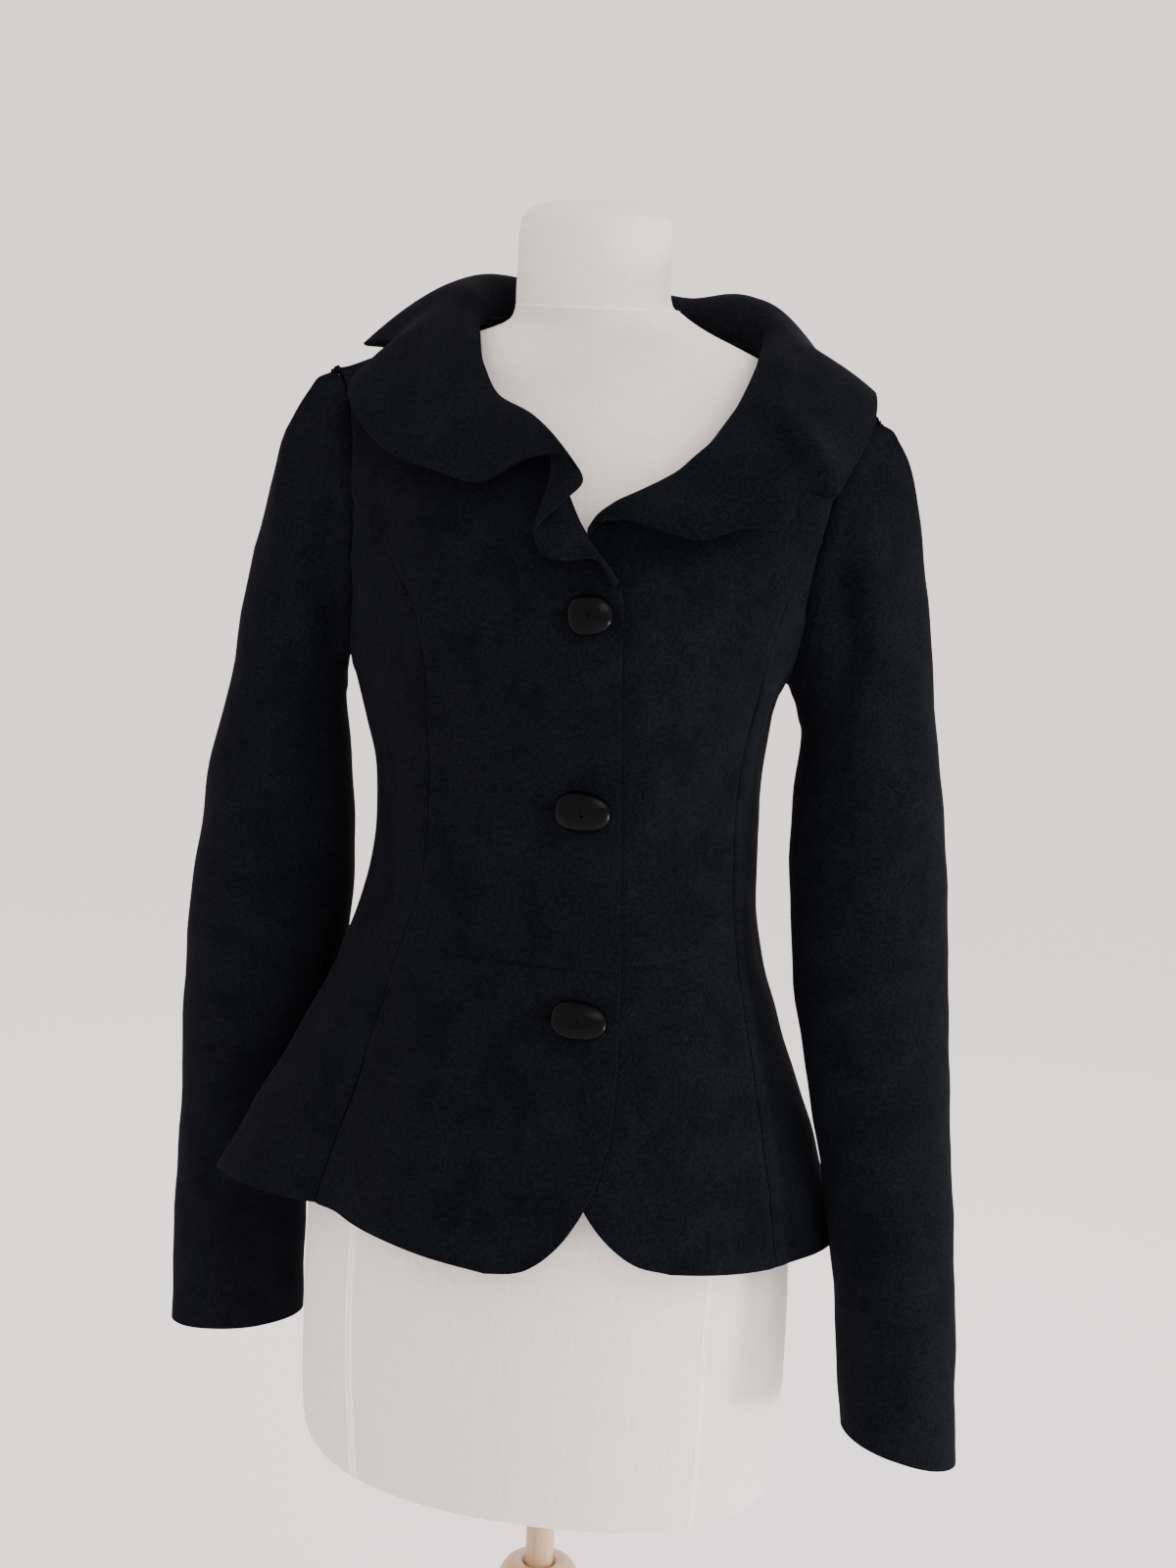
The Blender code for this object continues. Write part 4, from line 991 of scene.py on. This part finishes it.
def cloth_sleeve(name, side, finish):
    coarse, rim_normals = sleeve_grid(side)
    points = refine(coarse, FINE_SLEEVE, closed=True)
    fine_rim = unit(refine_axis(rim_normals, FINE_SLEEVE, True))
    outward = points - points.mean(axis=1, keepdims=True)
    if (grid_normals(points, closed=True) * outward).sum() < 0:
        points, fine_rim = points[:, ::-1], fine_rim[::-1]
    normals = grid_normals(points, closed=True)
    front_facing = np.clip(-normals[..., 1] * 3 + 0.4, 0, 1)
    deep = creased(points, SLEEVE_CREASES[side]) * (0.35 + 0.65 * front_facing)
    far = edge_distance(points, 0, 0)
    deep += swelling(points) * np.clip(far / 0.02, 0, 1)
    deep += ditch(far, HEAD_DITCH)
    points = points - normals * deep[..., None]
    normals = grid_normals(points, closed=True)
    for row in range(4):
        normals[row] = unit(normals[row] * row / 4 + fine_rim * (1 - row / 4))
    rim = points[0].copy()
    away = unit(np.cross(fine_rim, np.roll(rim, -1, axis=0) - np.roll(rim, 1, axis=0)))
    away *= math.copysign(1, (away * (points[3] - rim)).sum())
    made = cloth_wall(f"cloth_{name}", points, normals, finish, closed=True,
                      extra_strip=(rim, rim + away * 0.001, fine_rim))
    declare_cloth(made, name)


def cloth_collar(finish):
    seam = neckline_points()
    along = lengths_along(seam)
    columns, rows = COLLAR_FINE
    at = np.linspace(COLLAR[0][0], COLLAR[-1][0], columns)
    starts = np.stack([np.interp(at * along[-1], along, seam[:, k]) for k in range(3)], axis=1)
    kernel = np.ones(9) / 9
    for k in range(3):
        padded = np.pad(starts[:, k], 4, mode="reflect", reflect_type="odd")
        starts[:, k] = np.convolve(padded, kernel, mode="valid")
    grid = np.zeros((rows + 1, columns, 3))
    t = np.linspace(0, 1, rows + 1)[:, None]
    folds = smooth_columns(COLLAR, at)
    for index, (start, (rise, x, y, z, bulge)) in enumerate(zip(starts, folds)):
        edge = np.array(turned(x, y, z))
        lean = unit(np.array([start[0] - CENTRE_X, start[1], 0.0]))
        begin = start + UP * COLLAR_CLEAR["up"] + lean * COLLAR_CLEAR["out"]
        upper = begin + (UP + lean * column(COLLAR_LEAN, at[index], 1)) * rise * COLLAR_ROLL
        lower = upper * (1 - COLLAR_FALL) + edge * COLLAR_FALL + (lean + UP) * bulge * COLLAR_BULGE
        grid[:, index] = ((1 - t) ** 3 * begin + 3 * (1 - t) ** 2 * t * upper
                          + 3 * (1 - t) * t ** 2 * lower + t ** 3 * edge)
    if grid_normals(grid)[:, :, 2].sum() < 0:
        grid = grid[:, ::-1]
    rim = grid[0].copy()
    lean = unit(rim * (1, 1, 0) - (CENTRE_X, 0, 0))
    made = cloth_wall("cloth_collar", grid, grid_normals(grid), finish,
                      extra_strip=(rim + lean * WALL, rim + lean * WALL + UP * 0.001, lean))
    declare_cloth(made, "collar")


def linen_form(finish, seam_finish):
    points = []
    for z, half, front, back, roundness in FORM:
        centre = column(FORM_CENTRE, z, 1)
        ring = []
        for index in range(FORM_POINTS):
            angle = 2 * math.pi * index / FORM_POINTS
            depth = front if math.sin(angle) < 0 else back
            ring.append(turned(centre + half * signed_power(math.cos(angle), 2 / roundness),
                               depth * signed_power(math.sin(angle), 2 / roundness), z))
        points.append(ring)
    points = refine(np.array(points), FINE_FORM, closed=True)
    normals = grid_normals(points, closed=True)
    rows, columns = points.shape[:2]
    faces = grid_faces(rows, columns, True)
    made = mesh_object("linen_form", points.reshape(-1, 3), faces + end_faces(rows, columns),
                       finish, 50)
    weave = made.data.uv_layers.new(name="weave")
    for polygon in made.data.polygons:
        on_side = polygon.index < len(faces)
        for loop, vertex in zip(polygon.loop_indices, polygon.vertices):
            x, y, z = points[vertex // columns, vertex % columns]
            around = vertex % columns / columns
            if polygon.index % columns == columns - 1 and around == 0:
                around = 1.0
            weave.data[loop].uv = (around * WEAVE_ROUND, z) if on_side else (x, y)
    declare(made, "form")
    heights = points[:, :, 2].mean(axis=1)
    at_neck = [[[np.interp(NECK_SEAM["z"], heights, table[:, c % columns, k]) for k in range(3)]
                for c in range(columns + 1)] for table in (points, normals)]
    ribbon("neck_seam", *np.array(at_neck), NECK_SEAM["half_width"], NECK_SEAM["height"],
           seam_finish)
    for number, (line, width, height) in enumerate(LINEN_SEAMS):
        for front in (True, False):
            path, out = [], []
            for ring, ring_normals, z in zip(points, normals, heights):
                if not line[0][0] <= z <= line[-1][0]:
                    continue
                x = column(line, z, 1)
                facing = (ring[:, 1] + TURN * ring[:, 0] < 0) == front
                near = np.where(facing, np.abs(ring[:, 0] - x), 9).argsort()[:2]
                one, two = ring[near]
                path.append(one + (two - one) * (x - one[0]) / (two[0] - one[0]))
                out.append(ring_normals[near[0]])
            name = f"form_seam_{number + 1}_{'front' if front else 'back'}"
            ribbon(name, np.array(path), np.array(out), width, height, seam_finish)


def ribbon(name, path, outward, width, height, finish):
    """A low raised seam along a path: two pressed lips with a stitched groove between them."""
    side = unit(np.cross(np.gradient(path, axis=0), outward))
    lines = [path + side * width * u + outward * height * v for u, v in SEAM_PROFILE]
    points = np.stack(lines, axis=1).reshape(-1, 3)
    ride_only(mesh_object(name, points, grid_faces(len(path), len(lines)), finish))


def ride_only(piece):
    """Declares a piece that stands for no solid."""
    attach(piece, "root")


def on_lap(x, z):
    """The point of the upper front that is seen at x and z."""
    level = dome_level(x, z)
    return np.array(lapped(body_point(angle_at(x, level), level)))


def glossy_button(name, x, z, half_width, half_height, turn, sink, finish):
    """A nugget button: a rounded lump with a soft rim and a small ringed hole at its peak."""
    middle = on_lap(x, z)
    level = dome_level(x, z)
    beside = np.array(lapped(body_point(angle_at(x + 0.004, level), level)))
    above_level = dome_level(x, z + 0.004)
    above = np.array(lapped(body_point(angle_at(x, above_level), above_level)))
    across = unit(beside - middle)
    up = above - middle
    up = unit(up - across * (up @ across))
    out = np.cross(across, up)
    spin = math.radians(turn)
    rings = refine_axis(np.array(BUTTON_RINGS[2:-1] + [BUTTON_PEAK]), 5, False).tolist()
    rings = BUTTON_RINGS[:2] + rings + [(radius / half_width, height)
                                        for radius, height in BUTTON_HOLE]
    points = []
    for share, height in rings:
        round_part = smoothstep((share - BUTTON_ROUND["from"]) / BUTTON_ROUND["over"])
        power = 1 + (BUTTON_ROUNDNESS - 1) * round_part
        tall = half_width + (half_height - half_width) * round_part
        for index in range(BUTTON_AROUND):
            angle = 2 * math.pi * index / BUTTON_AROUND
            u = signed_power(math.cos(angle), power) * half_width * share
            v = signed_power(math.sin(angle), power) * tall * share
            v *= 1 - BUTTON_TAPER * math.cos(angle) * round_part
            u, v = u * math.cos(spin) - v * math.sin(spin), u * math.sin(spin) + v * math.cos(spin)
            points.append(middle + across * u + up * v + out * (height - sink))
    size = len(rings), BUTTON_AROUND
    faces = grid_faces(*size, True) + end_faces(*size)
    declare(mesh_object(f"glossy_{name}", points, faces, finish, 70), name)


def buttonhole(name, left, right, z, finish):
    """A worked buttonhole: a slit with a dense row of thread round it, on the upper front."""
    points, faces = [], []
    xs = [left + (right - left) * index / (HOLE["stitches"] - 1)
          for index in range(HOLE["stitches"])]
    outline = [(x, -HOLE["half_height"]) for x in xs[::-1]] + [(x, HOLE["half_height"]) for x in xs]
    side = np.array([HOLE["thread"], 0, 0])
    for index, (x, dz) in enumerate(outline):
        jitter = HOLE["jitter"] * math.sin(index * 2.3)
        inner = on_lap(x, z + dz * 0.25) - (0, 0.0002, 0)
        outer = on_lap(x, z + dz * 1.25 + jitter) - (0, 0.0001, 0)
        middle = (inner + outer) / 2 - (0, 0.0007, 0)
        faces += grid_faces(3, 3, base=len(points))
        for place in (inner, middle, outer):
            points += [place - side, place - (0, 0.00025, 0), place + side]
    ride_only(mesh_object(name, points, faces, finish, 80))


def smooth_profile(profile, factor=5):
    return [tuple(p) for p in refine_axis(np.array(profile), factor, False)]


def turned_wood(name, profile, finish, count=96):
    """Turns a profile of radius and z, from the top middle outwards and down to the middle."""
    rings = [p for p in profile if p[0] > 1e-6]
    turns = [2 * math.pi * index / count for index in range(count)]
    points = [(radius * math.cos(turn), radius * math.sin(turn), z)
              for radius, z in rings for turn in turns]
    points += [(0, 0, profile[0][1]), (0, 0, profile[-1][1])]
    faces = [quad[::-1] for quad in grid_faces(len(rings), count, True)]
    top, last = len(points) - 2, (len(rings) - 1) * count
    for index in range(count):
        after = (index + 1) % count
        faces += [(top, index, after), (last + index, top + 1, last + after)]
    declare(mesh_object(f"turned_{name}", points, faces, finish, 40), name)


def area_light(name, place, target, size, power, colour):
    data = bpy.data.lights.new(name, "AREA")
    data.shape = "RECTANGLE"
    data.size, data.size_y = size
    data.energy = power
    data.color = colour
    made = put_in_scene(name, data)
    made.location = place
    made.rotation_euler = (Vector(target) - Vector(place)).to_track_quat("-Z", "Y").to_euler()


def set_camera():
    """The viewpoint worked out from the photograph."""
    yaw, pitch, roll = (math.radians(angle) for angle in CAMERA["turn"])
    data = bpy.data.cameras.new("camera")
    data.sensor_fit = "VERTICAL"
    data.sensor_height = CAMERA["sensor"]
    data.lens = CAMERA["focal"] * CAMERA["sensor"]
    made = put_in_scene("camera", data)
    made.matrix_world = (Matrix.Translation(CAMERA["place"]) @ Matrix.Rotation(-yaw, 4, "Z")
                         @ Matrix.Rotation(math.pi / 2 - pitch, 4, "X")
                         @ Matrix.Rotation(roll, 4, "Z"))
    bpy.context.scene.camera = made


def set_room():
    turns = [2 * math.pi * index / FLOOR["sides"] for index in range(FLOOR["sides"])]
    paint = plain_material("floor_paint", (0.99, 0.985, 0.985), 1.0, Specular_IOR_Level=0.0)
    points = [(FLOOR["radius"] * math.cos(turn), FLOOR["radius"] * math.sin(turn), 0)
              for turn in turns]
    floor = mesh_object("floor", points, [tuple(range(len(turns)))], paint)
    world = bpy.data.worlds.new("studio")
    world.use_nodes = True
    sky = world.node_tree.nodes["Background"].inputs
    sky["Color"].default_value = (0.86, 0.77, 0.755, 1)
    sky["Strength"].default_value = 1.9
    bpy.context.scene.world = world
    for light in LIGHTS:
        area_light(*light)


wool = cloth_material()
gloss = plain_material("black_gloss", (0.0012, 0.0013, 0.0016), 0.26, Specular_IOR_Level=0.06)
thread = plain_material("buttonhole_thread", (0.0045, 0.005, 0.0065), 0.9, Specular_IOR_Level=0.05)
linen = linen_material()
beech = beech_material()

# The cloth pieces and the sleeve of each side
for wearer, side in (("right", "left"), ("left", "right")):
    cloth_panel(f"front_{wearer}", front_rows(side), FRONT_CREASES, ("outer", "top"), wool,
                lap=side == "left")
    cloth_panel(f"side_front_{wearer}", side_rows(side, True), FRONT_CREASES,
                ("inner", "outer", "top"), wool)
    cloth_panel(f"side_back_{wearer}", side_rows(side, False), BACK_CREASES,
                ("inner", "outer", "top"), wool)
    cloth_panel(f"back_{wearer}", back_rows(side), BACK_CREASES, ("inner", "outer"), wool)
    cloth_sleeve(f"sleeve_{wearer}", side, wool)
cloth_collar(wool)
linen_form(linen, plain_material("seam_linen", (0.92, 0.885, 0.84), 0.9))
for row in BUTTONS:
    glossy_button(*row, gloss)
for number, (left, right, z) in enumerate(BUTTONHOLES):
    buttonhole(f"buttonhole_{number + 1}", left, right, z, thread)
bore = [(0, BORE["floor_z"]), (BORE["radius"], BORE["floor_z"]), (BORE["radius"], BORE["mouth_z"])]
turned_wood("pole", [(0, POLE_Z[1]), (POLE_RADIUS, POLE_Z[1]), (POLE_RADIUS, POLE_Z[0]),
                     (0, POLE_Z[0])], beech)
turned_wood("hub", bore + smooth_profile(HUB) + [(0, HUB[-1][1])], beech)
turned_wood("column", [(0, COLUMN[0][1])] + smooth_profile(COLUMN) + [(0, COLUMN[-1][1])], beech)
turned_wood("base", [(0, BASE[0][1])] + smooth_profile(BASE) + [(0, BASE[-1][1])], beech)

set_room()
set_camera()
